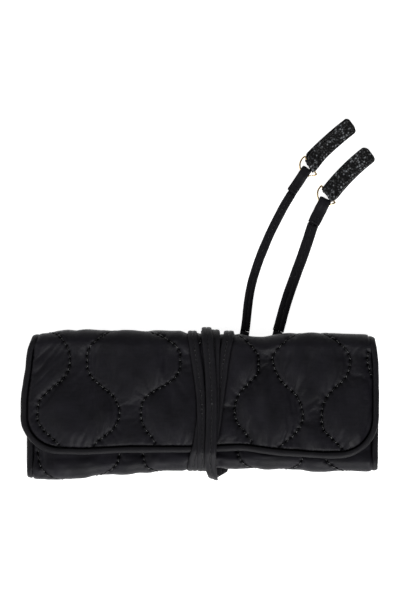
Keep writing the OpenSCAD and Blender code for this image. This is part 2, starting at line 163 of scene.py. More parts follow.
def make_mesh(name, points, faces, uv, material, second=None, second_from=None):
    """points in millimetres, uv per point in millimetres."""
    me = bpy.data.meshes.new(name)
    me.from_pydata((np.asarray(points) * MM).tolist(), [], [list(map(int, f)) for f in faces])
    me.polygons.foreach_set("use_smooth", [True] * len(me.polygons))
    layer = me.uv_layers.new(name="UVMap")
    corner = np.zeros(len(me.loops), np.int32)
    me.loops.foreach_get("vertex_index", corner)
    layer.data.foreach_set("uv", np.asarray(uv, np.float32)[corner].ravel())
    me.materials.append(material)
    if second:
        me.materials.append(second)
        index = np.zeros(len(me.polygons), np.int32)
        index[second_from:] = 1
        me.polygons.foreach_set("material_index", index)
    me.update()
    return link(bpy.data.objects.new(name, me))


class Shape:
    """Collects points, faces and uv from several parts of one piece."""

    def __init__(self):
        self.p, self.f, self.uv, self.n = [], [], [], 0

    def add(self, points, faces, uv):
        self.p.append(np.asarray(points, float))
        self.uv.append(np.asarray(uv, float))
        self.f.extend([[i + self.n for i in f] for f in faces])
        self.n += len(points)

    def make(self, name, material, second=None, second_from=None):
        return make_mesh(name, np.vstack(self.p), self.f, np.vstack(self.uv), material, second, second_from)


def tube_faces(rings, around):
    faces = []
    for i in range(rings - 1):
        for k in range(around):
            a, b = i * around + k, i * around + (k + 1) % around
            faces.append((a, b, b + around, a + around))
    faces.append(tuple(range(around - 1, -1, -1)))
    faces.append(tuple(range((rings - 1) * around, rings * around)))
    return faces


def frames_along(line, up):
    """Tangent, side and normal at each point of a line; up is the normal wished for, one or one per point."""
    t = unit(np.gradient(line, axis=0))
    up = np.broadcast_to(np.asarray(up, float), line.shape)
    side = unit(np.cross(t, up))
    return t, side, unit(np.cross(side, t))


def sweep(line, up, profile, scale_side=1.0):
    """Sweeps a closed profile, (side, up) pairs, along a line."""
    _, side, n = frames_along(line, up)
    prof = np.asarray(profile, float)
    a = np.broadcast_to(np.asarray(scale_side, float), len(line))
    pts = (line[:, None, :] + side[:, None, :] * (prof[None, :, 0] * a[:, None])[..., None]
           + n[:, None, :] * prof[None, :, 1, None])
    uv = np.stack(np.broadcast_arrays(walked(prof)[None, :], walked(line)[:, None]), -1)
    return pts.reshape(-1, 3), tube_faces(len(line), len(prof)), uv.reshape(-1, 2)


def thread(ends_line, radius, normals, around=6):
    """One stitch: a short thread whose two ends dive into their holes."""
    line = np.asarray(ends_line, float)
    _, side, n = frames_along(line, normals)
    a = np.linspace(0, 2 * math.pi, around, endpoint=False)
    fade = np.sqrt(np.clip(1 - np.linspace(-1, 1, len(line)) ** 4, 0.12, 1))
    ring = (side[:, None] * np.cos(a)[None, :, None] + n[:, None] * np.sin(a)[None, :, None] * 0.85)
    pts = line[:, None] + ring * (radius * fade)[:, None, None]
    along = np.linspace(0, length_of(line), len(line))[:, None]
    uv = np.stack(np.broadcast_arrays(a[None, :] * radius, along), -1)
    return pts.reshape(-1, 3), tube_faces(len(line), around), uv.reshape(-1, 2)


def dive(end, shoulder, crown):
    """The heights of a stitch's five points: down into its hole, over, and down again."""
    return np.array([end, shoulder, crown, shoulder, end])


def spans(start, stop, long, pitch):
    """The five points of each stitch of a row, as distances along it."""
    at = start
    while at + long < stop:
        yield np.linspace(at, at + long, 5)
        at += pitch


def face_out(o):
    """Makes a mesh's faces point outwards."""
    bm = bmesh.new()
    bm.from_mesh(o.data)
    bmesh.ops.recalc_face_normals(bm, faces=bm.faces)
    bm.to_mesh(o.data)
    bm.free()
    o.data.update()


# ---- camera, straight above
VIEW_W, IMAGE_W, IMAGE_H = 257.6, 400, 600     # the width seen, in mm, and the picture's proportions
CAMERA_H, FOCUS_H, SENSOR = 2600.0, 22.0, 36.0
camera_data = bpy.data.cameras.new("camera")
camera = bpy.data.objects.new("camera", camera_data)
link(camera)
bpy.context.scene.camera = camera
camera.location = (-0.3 * MM, 66.3 * MM, CAMERA_H * MM)
camera_data.sensor_fit = "AUTO"
camera_data.sensor_width = SENSOR
camera_data.lens = SENSOR * (CAMERA_H - FOCUS_H) / (VIEW_W * IMAGE_H / IMAGE_W)
camera_data.clip_start, camera_data.clip_end = 0.05, 20.0


# ---- materials
class Recipe:
    """A material being built up. Each value given is a constant, or the output of a node to link."""

    def __init__(self, name):
        self.material = bpy.data.materials.new(name)
        self.material.use_nodes = True
        self.tree = self.material.node_tree
        self.bsdf = self.tree.nodes["Principled BSDF"]

    def feed(self, socket, value):
        if isinstance(value, bpy.types.NodeSocket):
            self.tree.links.new(value, socket)
        else:
            socket.default_value = value

    def add(self, kind, *feeds, **values):
        """Adds a node. Feeds fill its inputs in order; a capitalised name is an input, another a setting."""
        node = self.tree.nodes.new("ShaderNode" + kind)
        for key in (k for k in values if k[0].islower()):
            setattr(node, key, values[key])
        for key in (k for k in values if k[0].isupper()):
            self.feed(node.inputs[key.replace("_", " ")], values[key])
        for socket, value in zip(node.inputs, feeds):
            self.feed(socket, value)
        return node.outputs

    def uv(self, **mapping):
        uv = self.add("UVMap", uv_map="UVMap")["UV"]
        return self.add("Mapping", Vector=uv, **mapping)["Vector"] if mapping else uv

    def noise(self, where, scale, detail, roughness=0.5, output="Fac"):
        return self.add("TexNoise", Vector=where, Scale=scale, Detail=detail, Roughness=roughness)[output]

    def bands(self, where, direction, scale, distortion, detail_scale=1.0):
        return self.add("TexWave", wave_type="BANDS", bands_direction=direction, Vector=where, Scale=scale,
                        Distortion=distortion, Detail=1.0, Detail_Scale=detail_scale)["Fac"]

    def ramp(self, value, low, high, from_min=0.3, from_max=0.7):
        return self.add("MapRange", value, from_min, from_max, low, high)["Result"]

    def colours(self, value, *stops):
        """A colour ramp; each stop is a place and a colour."""
        node = self.tree.nodes.new("ShaderNodeValToRGB")
        e = node.color_ramp.elements
        e.remove(e[-1])
        e[0].position, e[0].color = stops[0][0], (*stops[0][1], 1)
        for at, c in stops[1:]:
            e.new(at).color = (*c, 1)
        self.feed(node.inputs["Fac"], value)
        return node.outputs["Color"]

    def surface(self, **values):
        for key, value in values.items():
            self.feed(self.bsdf.inputs[key.replace("_", " ")], value)
        return self.material

    def bump(self, height, strength, distance=0.0001):
        self.surface(Normal=self.add("Bump", Strength=strength, Distance=distance, Height=height)["Normal"])

    def paint_crease_shade(self, colour, specular, reach, depth):
        """Painted shade: an ambient-occlusion mask darkens the colour and the shine where a surface turns into a
        crease or passes under something.
        """
        open_sky = self.add("AmbientOcclusion", samples=8, Distance=reach)["AO"]
        power = self.add("Math", open_sky, depth, operation="POWER")["Value"]
        shaded = self.add("VectorMath", operation="SCALE", Vector=colour, Scale=power)["Vector"]
        self.surface(Base_Color=shaded, Specular_IOR_Level=self.ramp(power, 0.0, specular))


def cloth_material(name, dark, light, rough, pitch, bump, depth=1.3):
    """Woven cloth on uv in millimetres: fine diagonal floats, slubs, uneven tone, and painted shade that darkens
    its creases.
    """
    m = Recipe(name)
    weave = m.bands(m.uv(Rotation=(0, 0, math.radians(32))), "X", 0.3 / pitch, 1.2, 1.5)
    cross = m.bands(m.uv(), "Y", 0.3 / pitch, 0.8, 1.5)
    slubs = m.noise(m.uv(Scale=(0.12, 1.4, 1)), 0.9, 4.0, 0.6)
    broad = m.ramp(m.noise(m.uv(), 0.06, 3.0, 0.55), -0.15, 0.45)
    tone = m.add("Math", slubs, 0.7, broad, operation="MULTIPLY_ADD")["Value"]
    # painted shade: colour and shine darkened in creases and under other parts, by the power depth
    m.paint_crease_shade(m.colours(tone, (0.15, dark), (0.85, light)), 0.14, 0.0022, depth)
    m.bump(m.add("Math", weave, cross, slubs, operation="MULTIPLY_ADD")["Value"], bump, 0.00012)
    return m.surface(Roughness=m.ramp(slubs, rough - 0.06, rough + 0.08))


def thread_material(name, dark, light):
    """Twisted thread, with a wet-looking shine."""
    m = Recipe(name)
    twist = m.bands(m.uv(Rotation=(0, 0, math.radians(38))), "Y", 0.9, 0.4)
    m.bump(twist, 0.3)
    return m.surface(Base_Color=m.colours(twist, (0.1, dark), (0.9, light)), Roughness=0.2,
                     Specular_IOR_Level=0.55)


def leather_material(name):
    """Pebbled leather on uv in millimetres: grain crowns coloured light as painted highlights, some much
    brighter than others, and creases coloured near-black as painted shade.
    """
    m = Recipe(name)
    uv = m.uv()
    warp = m.noise(uv, 0.7, 2.0, output="Color")
    bent = m.add("VectorMath", warp, (1.1, 1.1, 0), uv, operation="MULTIPLY_ADD")["Vector"]
    cells = m.add("TexVoronoi", feature="F1", Vector=bent, Scale=0.62)["Distance"]
    # painted highlights: how bright each crown's painted glint is
    glint_strength = m.ramp(m.noise(uv, 0.22, 4.0, 0.65), 0.45, 1.15, 0.3, 0.62)
    lit = m.add("Math", m.ramp(cells, 1.0, 0.0, 0.08, 0.7), glint_strength, operation="MULTIPLY")["Value"]
    colour = m.colours(lit, (0.1, (0.0005, 0.0005, 0.0006)), (0.36, (0.005, 0.0052, 0.0056)),
                       (0.58, (0.05, 0.053, 0.056)), (0.85, (0.26, 0.27, 0.285)))
    # painted shade in the creases as well, from the ambient-occlusion mask
    m.paint_crease_shade(colour, 0.3, 0.0012, 1.5)
    fine = m.noise(uv, 3.2, 5.0, 0.6)
    m.bump(fine, 0.3)
    return m.surface(Roughness=m.ramp(fine, 0.3, 0.5))


def metal_material(name, low, high, rough):
    """Polished pale gold with faint handling marks, on the object's own coordinates."""
    m = Recipe(name)
    where = m.add("TexCoord")["Object"]
    marks = m.noise(where, 900.0, 5.0, 0.65)
    m.bump(marks, 0.12, 0.00004)
    return m.surface(Base_Color=m.colours(m.noise(where, 160.0, 2.0), (0.3, low), (0.7, high)), Metallic=1.0,
                     Roughness=m.ramp(marks, rough - 0.05, rough + 0.09))


def tape_material(name):
    """Herringbone zip tape, on the object's own coordinates."""
    m = Recipe(name)
    where = m.add("TexCoord")["Object"]
    rib = m.bands(where, "DIAGONAL", 700.0, 1.5)
    m.bump(rib, 0.6)
    return m.surface(Base_Color=m.colours(rib, (0.2, (0.006, 0.006, 0.007)), (0.8, (0.014, 0.014, 0.016))),
                     Roughness=m.ramp(m.noise(where, 2500.0, 3.0), 0.7, 0.85), Specular_IOR_Level=0.25)


SATIN = cloth_material("quilted_satin", (0.0042, 0.004, 0.0056), (0.0104, 0.0097, 0.0136), 0.47, 0.32, 0.32)
LINING = cloth_material("lining_satin", (0.0085, 0.0078, 0.0105), (0.014, 0.013, 0.017), 0.42, 0.36, 0.3)
BINDING_M = cloth_material("binding_satin", (0.0052, 0.005, 0.0064), (0.0082, 0.0078, 0.0098), 0.48, 0.3, 0.35)
# the straps get the strongest painted shade (1.7), darkening the gaps between the tie's runs
STRAP = cloth_material("strap_satin", (0.0062, 0.006, 0.0077), (0.0104, 0.0099, 0.0126), 0.46, 0.28, 0.4, 1.7)
THREAD = thread_material("thread", (0.0012, 0.0012, 0.0015), (0.0045, 0.0045, 0.0055))
LEATHER = leather_material("pull_leather")
RING = metal_material("ring_metal", (0.72, 0.55, 0.32), (0.86, 0.70, 0.45), 0.2)
ZIP = metal_material("zip_metal", (0.62, 0.47, 0.25), (0.78, 0.62, 0.36), 0.26)
STUD = metal_material("stud_metal", (0.64, 0.5, 0.28), (0.8, 0.65, 0.4), 0.22)
TAPE = tape_material("zip_tape")


# ---- the cords: the tie's two tails
STITCH_AT, FACE_END = 0.74, 16     # a stitch's height in the strap; where the upper face's points end


def strap_profile(w, t, groove=0.24):
    """A folded satin strap in section: soft edges, a little thicker than the stitched middle."""
    h = w / 2
    side = [(h, 0.2), (h - 0.08, 0.4), (h - 0.3, 0.62), (h - 0.75, 0.83), (h - 1.5, 0.96), (1.1, 1.0),
            (0.6, 0.95), (0.25, 1 - 0.75 * groove)]
    low = [(h - 0.12, 0.09), (h - 0.6, 0.0), (h - 2, 0.0)]
    whole = ([(-a, b) for a, b in side] + [(0, 1 - groove)] + side[::-1]
             + low + [(0, 0.03)] + [(-a, b) for a, b in low[::-1]])
    return [(-a, b * t) for a, b in whole]


def strap_piece(name, line, up, width, thick, seed, ripple=0.035, both=False, widths=1.0):
    """A satin strap along line, which is the middle of its under face, stitched along its middle."""
    s = Shape()
    gone = walked(line)
    _, side, normal = frames_along(line, up)
    wave = value_noise(gone, 0, 7.0, seed) * 0.02 + value_noise(gone, 0, 2.6, seed + 1) * 0.012
    profile = strap_profile(width, thick)
    pts, faces, uv = sweep(line, up, profile, (1 + wave) * widths)
    grid = pts.reshape(len(line), len(profile), 3)
    along, across = np.meshgrid(gone, np.arange(1, FACE_END), indexing="ij")
    lift = ripple * value_noise(along, across * 1.7, 1.6, seed + 2)
    grid[:, 1:FACE_END] += normal[:, None] * lift[..., None]
    s.add(grid.reshape(-1, 3), faces, uv)
    first = len(s.f)
    lead, pitch = 1.6, 2.9
    dip, slant = dive(-0.14, 0.08, 0.12), np.linspace(0.09, -0.09, 5)[:, None]
    for q in spans(lead, gone[-1] - lead, pitch * 0.8, pitch):
        mid, n, across = (at_distance(q, gone, v) for v in (line, normal, side))
        s.add(*thread(mid + n * (thick * STITCH_AT + dip)[:, None] + across * slant, 0.17, n))
        if both:
            s.add(*thread(mid + n * (0.04 - dip * 0.5)[:, None] - across * slant, 0.12, -n))
    return s.make(name, STRAP, THREAD, first)


def at_end(route, end, ahead, z, side=0.0):
    """A point ahead of the ring's pivot, along the heading of the strap's end."""
    h = heading(end[0])
    p = np.array(route[-1]) + (FOLD_BACK + ahead) * h + side * np.array([-h[1], h[0]])
    return np.array([p[0], p[1], z])


def make_tail(side, route, end, width, nose, aside, seed):
    """A tail of the tie lying on the table, and its folded-back end, through which the ring's bow passes."""
    flat = spline(route, 1.2)
    z = 0.06 + 0.05 * (1 + value_noise(flat[:, 0], flat[:, 1], 9.0, seed))
    path = np.column_stack([flat, np.full(len(flat), 0.6)])
    tail = strap_piece(f"strap_tail_{side}", np.column_stack([flat, z]), (0, 0, 1), width, 1.0, seed)
    # the fold in side view: along the table, round the bow, and back on top
    lower = [(a, 0.05) for a in (-FOLD_BACK - 0.4, -11, -7, -3, 0.4 * nose)]
    turn = 1.72
    bow = [(nose - turn + turn * math.cos(b), 1.77 + turn * math.sin(b))
           for b in np.radians(range(-72, 91, 18))]
    upper = [(-1.0, 3.38), (-3.0, 2.8), (-5.0, 2.24), (-7.0, 2.08), (-10.5, 2.02), (-14.3, 2.02)]
    uz = spline(lower + bow + upper, 0.7)
    done = np.arange(len(uz)) / len(uz)
    drift = aside * smoothstep((done - 0.25) / 0.25)
    pts = np.array([at_end(route, end, a, b, c) for (a, b), c in zip(uz, drift)])
    flow = np.gradient(uz, axis=0)
    h = heading(end[0])
    inner = np.column_stack([-flow[:, 1] * h[0], -flow[:, 1] * h[1], flow[:, 0]])
    widths = (width - 0.3 + 1.1 * smoothstep((done - 0.3) / 0.2)) / width
    widths = widths * (1 + 0.025 * value_noise(done * 40, done, 3.0, seed + 9))
    loop = Shape()
    loop.add(*sweep(pts, inner, [(a, 0.95 - b) for a, b in strap_profile(width, 0.95, 0.12)][::-1], widths))
    first = len(loop.f)
    half, dip = width / 2 - 0.5, 2.04 + dive(-0.12, 0.07, 0.1)
    pitch = 2 * half / 5
    for back in (9.6, 12.9):
        for k in range(5):
            q = aside + np.linspace(-half + k * pitch + 0.15, -half + (k + 1) * pitch - 0.1, 5)
            row = [at_end(route, end, -back + 0.08 * (2 * (k % 2) - 1), d, b) for b, d in zip(q, dip)]
            loop.add(*thread(row, 0.17, (0, 0, 1)))
    fold = loop.make(f"strap_loop_{side}", STRAP, THREAD, first)
    face_out(tail)
    face_out(fold)
    return tail, fold, path


def pull_frame(route, end):
    h, a = heading(end[0]), end[1]
    centre = np.array(route[-1]) + (FOLD_BACK + RING_R) * h
    return centre, heading(a), heading(a + 90)


def pebbles(u, v, seed, cell=1.5):
    """Height of pebbled grain: rounded crowns, each its own height, with creases between them."""
    r = np.random.default_rng(seed)
    iu, iv = np.floor(u / cell).astype(int), np.floor(v / cell).astype(int)
    jit = r.uniform(0.1, 0.9, (48, 48, 2))
    tall = r.uniform(0.55, 1.1, (48, 48))
    crown = np.zeros(u.shape)
    best = np.full(u.shape, 9.0)
    second = np.full(u.shape, 9.0)
    for a in (-1, 0, 1):
        for b in (-1, 0, 1):
            p, q = iu + a, iv + b
            j = jit[p % 48, q % 48]
            d = np.hypot(u / cell - p - j[..., 0], v / cell - q - j[..., 1])
            second = np.where(d < best, best, np.minimum(second, d))
            crown = np.where(d < best, tall[p % 48, q % 48], crown)
            best = np.minimum(best, d)
    return crown * np.clip(1 - (best / 0.72) ** 2, 0, 1) * np.clip((second - best) / 0.3, 0, 1) ** 0.5


# a leaf's thickness, its rounded edge and its stitching's inset; the points across its face
LEAF_T, LEAF_EDGE, SEAM_IN, ACROSS = 1.02, 0.45, 1.25, 41


def make_pull(side, route, end, width, length, tip, upper_shift, lower_shift, seed):
    """A leather strip folded over the ring's straight bar, its two leaves laid together and edge-stitched."""
    centre, bar, out = pull_frame(route, end)
    lean, curve = math.radians(end[2]), math.radians(end[3])

    def on_plan(v, w, shift):
        """v along the pull from the bar, w across it."""
        v = v - w * math.tan(lean) * (1 - smoothstep((v + 2) / 14))
        phi = lean - curve * np.clip(v, 0, None) / PULL_L
        x = PULL_L / curve * (math.cos(lean) - np.cos(phi))
        y = PULL_L / curve * (math.sin(lean) - np.sin(phi)) + np.clip(v, None, 0)
        x, y = x + (w + shift) * np.cos(phi), y + (w + shift) * np.sin(phi)
        return centre[0] + bar[0] * x + out[0] * y, centre[1] + bar[1] * x + out[1] * y

    # the strip in side view: back along the lower leaf, round the bar, and out along the upper leaf
    lower_l, upper_l, step = length + 0.5, length - 0.1, 0.27
    path = [(v, 0.06 + LEAF_T / 2) for v in np.arange(lower_l, 0.4, -step)]
    path += [(-1.18 * math.sin(b), RING_Z - 1.18 * math.cos(b)) for b in np.radians(range(0, 181, 15))]
    rise = [(0.9, 3.0), (2.2, 2.92), (4.0, 2.6), (6.0, 2.2), (8.0, 1.94), (10.0, 1.84), (12.0, 1.8)]
    path += spline([(0.0, 3.03)] + rise, step).tolist()[1:]
    path += [(v, 1.8) for v in np.arange(12.0 + step, upper_l, step)] + [(upper_l, 1.8)]
    path = np.array(path)
    vv, zz = path[:, 0], path[:, 1]
    flow = unit(np.gradient(path, axis=0))
    # outward normal in side view: down under the lower leaf, up on the upper one
    nv, nz = -flow[:, 1], flow[:, 0]
    sign = np.where(np.arange(len(path)) < len(path) / 2, -1, 1)
    flip = np.sign(nz * sign)
    flip[flip == 0] = 1
    middle = np.abs(nz) < 0.7
    flip[middle] = np.sign(-nv[middle])
    nv, nz = nv * flip, nz * flip
    over = np.clip(vv - (np.where(sign < 0, lower_l, upper_l) - tip), 0, tip)
    half = (width / 2 - (tip - np.sqrt(np.clip(tip**2 - over**2, 0, None))))[:, None]
    shift = np.where(sign < 0, lower_shift, upper_shift) * smoothstep((vv + 1.5) / np.where(sign < 0, 5, 14))
    gone = walked(path)[:, None]
    # closed section: points over the outer face, then over the inner one
    w = np.linspace(-1, 1, ACROSS)
    near_edge = ((np.abs(w) * width / 2 - width / 2 + LEAF_EDGE) / LEAF_EDGE).clip(0, 1)
    edge = 0.5 * LEAF_T * np.sqrt(np.clip(1 - near_edge**2, 0.02, 1))
    prof = np.vstack([np.stack([w, edge], 1), np.stack([w[::-1][1:-1], -edge[::-1][1:-1]], 1)])
    W = prof[None, :, 0] * half
    N = np.broadcast_to(prof[None, :, 1], W.shape).copy()
    grain = pebbles(gone + 0 * W, W + 20, seed)
    puff = 0.16 * np.exp(-(((np.abs(W) - (half - 2.1)) / 0.8) ** 2))
    seam = -0.16 * np.exp(-(((np.abs(W) - (half - SEAM_IN)) / 0.35) ** 2))
    face = np.zeros_like(W)
    face[:, 1:ACROSS - 1] = 1
    rim = smoothstep((half - np.abs(W)) / 0.5)
    N += face * rim * (0.4 * (grain - 0.5) + puff + seam + 0.08 * value_noise(gone + 0 * W, W, 4.0, seed + 3))
    px, py = on_plan(vv[:, None] + nv[:, None] * N, W, shift[:, None])
    pz = np.maximum(zz[:, None] + nz[:, None] * N, 0.02)
    uv = np.stack([W + np.where(prof[None, :, 1] < 0, 30, 0), gone + 0 * W], -1).reshape(-1, 2)
    s = Shape()
    s.add(np.stack([px, py, pz], -1).reshape(-1, 3), tube_faces(len(path), len(prof)), uv)
    leather = len(s.f)
    # edge stitching round the upper leaf
    r = max(tip - SEAM_IN, 0.4)
    half_way = [(v, width / 2 - SEAM_IN) for v in np.arange(3.0, upper_l - tip, 0.5)]
    half_way += [(upper_l - SEAM_IN - r + r * math.sin(b), width / 2 - SEAM_IN - r + r * math.cos(b))
                 for b in np.linspace(0, math.pi / 2, 8)]
    round_it = resample(half_way + [(v, -q) for v, q in half_way[::-1]], 0.3)
    far = walked(round_it)
    upper = len(vv) // 2 + 6
    for q in spans(0.4, far[-1] - 0.05, 1.65, 2.15):
        v, across = at_distance(q, far, round_it).T
        x, y = on_plan(v, across, upper_shift * smoothstep((v + 1.5) / 14))
        z = np.interp(v, vv[upper:], zz[upper:]) + LEAF_T / 2 - 0.1 + dive(-0.2, -0.02, 0.03)
        s.add(*thread(np.stack([x, y, z], 1), 0.17, (0, 0, 1)))
    return s.make(f"pull_{side}", LEATHER, THREAD, leather)


for side, route, end, width, nose, aside, leaf, seed in (
    ("left", TAIL_LEFT, END_LEFT, 5.9, 4.7, 0.7, (10.0, 37.7, 2.4, -1.1, -2.4), 21),
    ("right", TAIL_RIGHT, END_RIGHT, 7.2, 4.0, 0.0, (11.3, 38.5, 2.8, 0.1, 0.8), 31),
):
    tail, fold, path = make_tail(side, route, end, width, nose, aside, seed)
    pull = make_pull(side, route, end, *leaf, seed + 5)
    for piece, node, body, slot in ((tail, f"tie_tail_{side}", "back", "strap_satin"),
                                    (fold, f"tail_loop_{side}", "back", "strap_satin"),
                                    (pull, f"leather_pull_{side}", f"pull_{side}", "pull_leather")):
        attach(piece, body)
        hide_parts(node)
    round(length_of(path) * MM, 4)


# ---- the shell, laid out flat as (x, s) and folded back
def build_wrap():
    """Outer face of the folded shell in the YZ plane, by distance s from the flap's free edge."""
    pts, step = [], 0.25
    r, h = CORNER_R, ROLL_H / 2

    def line(a, b):
        n = max(2, int(math.dist(a, b) / step))
        pts.append(np.array(a) + np.subtract(b, a) * np.linspace(0, 1, n)[:, None])

    def arc(c, a0, a1):
        pts.append(np.array(c) + r * heading(np.linspace(a0, a1, 60)).T)

    line((FLAP_FREE, FLAP_Z), (CY, FLAP_Z))
    arc((CY, FLAP_Z - r), 90, 0)
    line((h, FLAP_Z - r), (h, BASE_Z + r))
    arc((CY, BASE_Z + r), 0, -90)
    line((CY, BASE_Z), (-CY, BASE_Z))
    arc((-CY, BASE_Z + r), -90, -180)
    line((-h, BASE_Z + r), (-h, FRONT_Z - r))
    arc((-CY, FRONT_Z - r), 180, 90)
    line((-CY, FRONT_Z), (FRONT_FREE, FRONT_Z))
    p = np.vstack(pts)
    keep = np.concatenate([[True], np.linalg.norm(np.diff(p, axis=0), axis=1) > 1e-6])
    p = p[keep]
    t = unit(np.gradient(p, axis=0))
    n = np.stack([-t[:, 1], t[:, 0]], 1)
    n[0] = n[-1] = (0, 1)
    return walked(p), p, n


WRAP_S, WRAP_P, WRAP_N = build_wrap()
QUARTER = math.pi / 2 * CORNER_R
S_FLAP = CY - FLAP_FREE         # where the top roll begins
S_TOP = S_FLAP + QUARTER        # flat of the top spine
S_TOP_END = S_TOP + FLAP_Z - BASE_Z - 2 * CORNER_R
S_BACK = S_TOP_END + QUARTER
S_BACK_END = S_BACK + 2 * CY
S_BOTTOM = S_BACK_END + QUARTER
S_BOTTOM_END = S_BOTTOM + FRONT_Z - BASE_Z - 2 * CORNER_R
S_FRONT = S_BOTTOM_END + QUARTER
S_ALL = S_FRONT + FRONT_FREE + CY

# how far each edge of the outline strays from its straight line, by x, or by y at the two ends
top_dy = soft_curve([(-125, -1.4), (-110, -1.0), (-95, 0.5), (-80, 0.8), (-60, 0.8), (-30, 0.2), (0, -0.6),
                     (22, -1.2), (36, -3.6), (44, -3.6), (54, -1.6), (64, -0.9), (85, -1.1), (112, -2.3),
                     (125, -2.4)], 3.5)
bottom_dy = soft_curve([(-125, -2.6), (-111, -3.0), (-92, -4.0), (-75, -2.0), (-62, -0.6), (-44, 0.5),
                        (-32, 1.3), (-8, 2.6), (15, 3.6), (32, 3.7), (50, 3.0), (66, 2.2), (90, 1.7), (112, 1.5),
                        (125, 1.6)], 4.5)
free_dy = soft_curve([(-125, -0.9), (-108, -0.7), (-94, 0.0), (-74, -0.5), (-45, 0.8), (-7, 0.8), (12, 1.5),
                      (27, 2.1), (41, 0.2), (51, -1.1), (61, -1.7), (70, -2.4), (80, -3.0), (92, -2.6),
                      (125, -1.0)], 3.0)
left_in = soft_curve([(-60, 0), (-24, 0), (-15, -0.6), (2, -0.5), (12, 0.7), (22, 2.4), (30, 3.1), (36, 4.0),
                      (43, 6.6), (50, 8.4)], 1.5)
right_in = soft_curve([(-60, 0), (-20, 0), (-12, 0.3), (12, 0.3), (18, 0.3), (27, 0.6), (33, 1.2), (38, 1.8),
                       (43, 2.7), (50, 4.0)], 1.5)


def fold_up(x, s, depth):
    """Points of the folded shell, depth below its outer face; the outline's own slackness is added."""
    x, s, depth = np.broadcast_arrays(np.asarray(x, float), np.asarray(s, float), np.asarray(depth, float))
    y, z, ny, nz = (np.interp(s, WRAP_S, v) for v in (*WRAP_P.T, *WRAP_N.T))
    k = np.maximum(np.hypot(ny, nz), 1e-9)
    before, after = np.minimum(s, 0), np.maximum(s - S_ALL, 0)
    y = y + before + after - depth * ny / k
    z = z - depth * nz / k
    up, down = smoothstep((y - 16) / 30), smoothstep((-y - 16) / 30)
    flapwise = smoothstep((70 - s) / 62)
    out = y + top_dy(x) * up + bottom_dy(x) * down * (1 - flapwise) + free_dy(x) * flapwise
    ends = smoothstep((np.abs(x) - 62) / 50)
    narrow = np.where(x < 0, left_in(y), right_in(y)) * ends * smoothstep((S_BACK + 34 - s) / 34)
    onward = smoothstep((s - S_BACK - 20) / 50)
    xx = (x - np.sign(x) * narrow) * (1 + 0.009 * onward) + 1.3 * onward
    return np.stack([xx, out, z], -1)


def half_width(s):
    """Half the width inside the binding."""
    return np.interp(s, [S_BACK - 10, S_BACK_END + 10], [FLAP_W / 2, FRONT_W / 2])


def outline_distance(x, s):
    """Signed distance to the seam between the quilting and its binding, negative inside."""
    hw = half_width(s)
    ax = np.abs(x)
    flap_end = s < S_ALL / 2
    r = np.where(flap_end, FLAP_R - BINDING, FRONT_R - BINDING)
    gap = np.where(flap_end, s - BINDING, S_ALL - BINDING - s)
    dx, ds = ax - (hw - r), r - gap
    corner = np.hypot(np.maximum(dx, 0), np.maximum(ds, 0)) - r
    inside = np.maximum(ax - hw, -gap)
    return np.where((dx > 0) & (ds > 0), corner, inside)


# ---- quilting lines: mirrored waves, like onions
PAIR, NARROW, WAVE, STITCH = 60.3, 6.0, 65.7, 4.2
CREST = 27.0 - FLAP_FREE
SHAPES = {(-1, -1): (-85.0, -104.5), (-1, 1): (-73.2, -52.6), (0, -1): (-24.3, -38.4), (0, 1): (-3.0, 6.0),
          (1, -1): (37.4, 21.8), (1, 1): (46.7, 65.6), (2, -1): (96.2, 77.4), (2, 1): (107.6, 126.0)}


def line_x(k, side, s):
    """A seam's x at s; the seams run in mirrored pairs, each a little different."""
    middle = -18.1 + PAIR * k
    top, low = SHAPES.get((k, side), (middle + side * NARROW, middle + side * (PAIR / 2 - NARROW)))
    phase = (s - CREST - 5.5 * smoothstep((s - 100) / 90)) / WAVE
    swing = np.cos(2 * math.pi * phase)
    x = (top + low) / 2 + (top - low) / 2 * (swing + 0.07 * (swing - np.cos(6 * math.pi * phase)))
    # the tie drags the cloth beside it
    x = x + 11.5 * np.exp(-(((x + 24) / 12.0) ** 2)) * smoothstep((s - 24) / 26) * smoothstep((112 - s) / 30)
    return x + 0.55 * value_noise(s, s * 0 + 31 * k + 7 * side, 11.0, 5)


def stitch_holes():
    """The needle's holes along each seam, in unbroken rows inside the outline."""
    rows, s = [], np.linspace(BINDING - 1, S_ALL - BINDING + 1, 4000)
    for k in range(-3, 4):
        for side in (-1, 1):
            pts = resample(np.stack([line_x(k, side, s), s], 1), STITCH)
            ok = outline_distance(pts[:, 0], pts[:, 1]) < -0.4
            for run in np.split(np.arange(len(pts)), np.nonzero(np.diff(ok))[0] + 1):
                if ok[run[0]] and len(run) > 1:
                    rows.append(pts[run])
    return rows


STEP = 1.0
xs = np.arange(-113, 113.01, STEP)
ss = np.arange(2, S_ALL - 1.9, STEP)
GX, GS = np.meshgrid(xs, ss)
outside = outline_distance(GX, GS)
holes = stitch_holes()
HOLE_H, EDGE_H = -0.2, 0.4


def nearest(p):
    j = int(np.clip(round((p[0] - xs[0]) / STEP), 0, len(xs) - 1))
    i = int(np.clip(round((p[1] - ss[0]) / STEP), 0, len(ss) - 1))
    return i, j


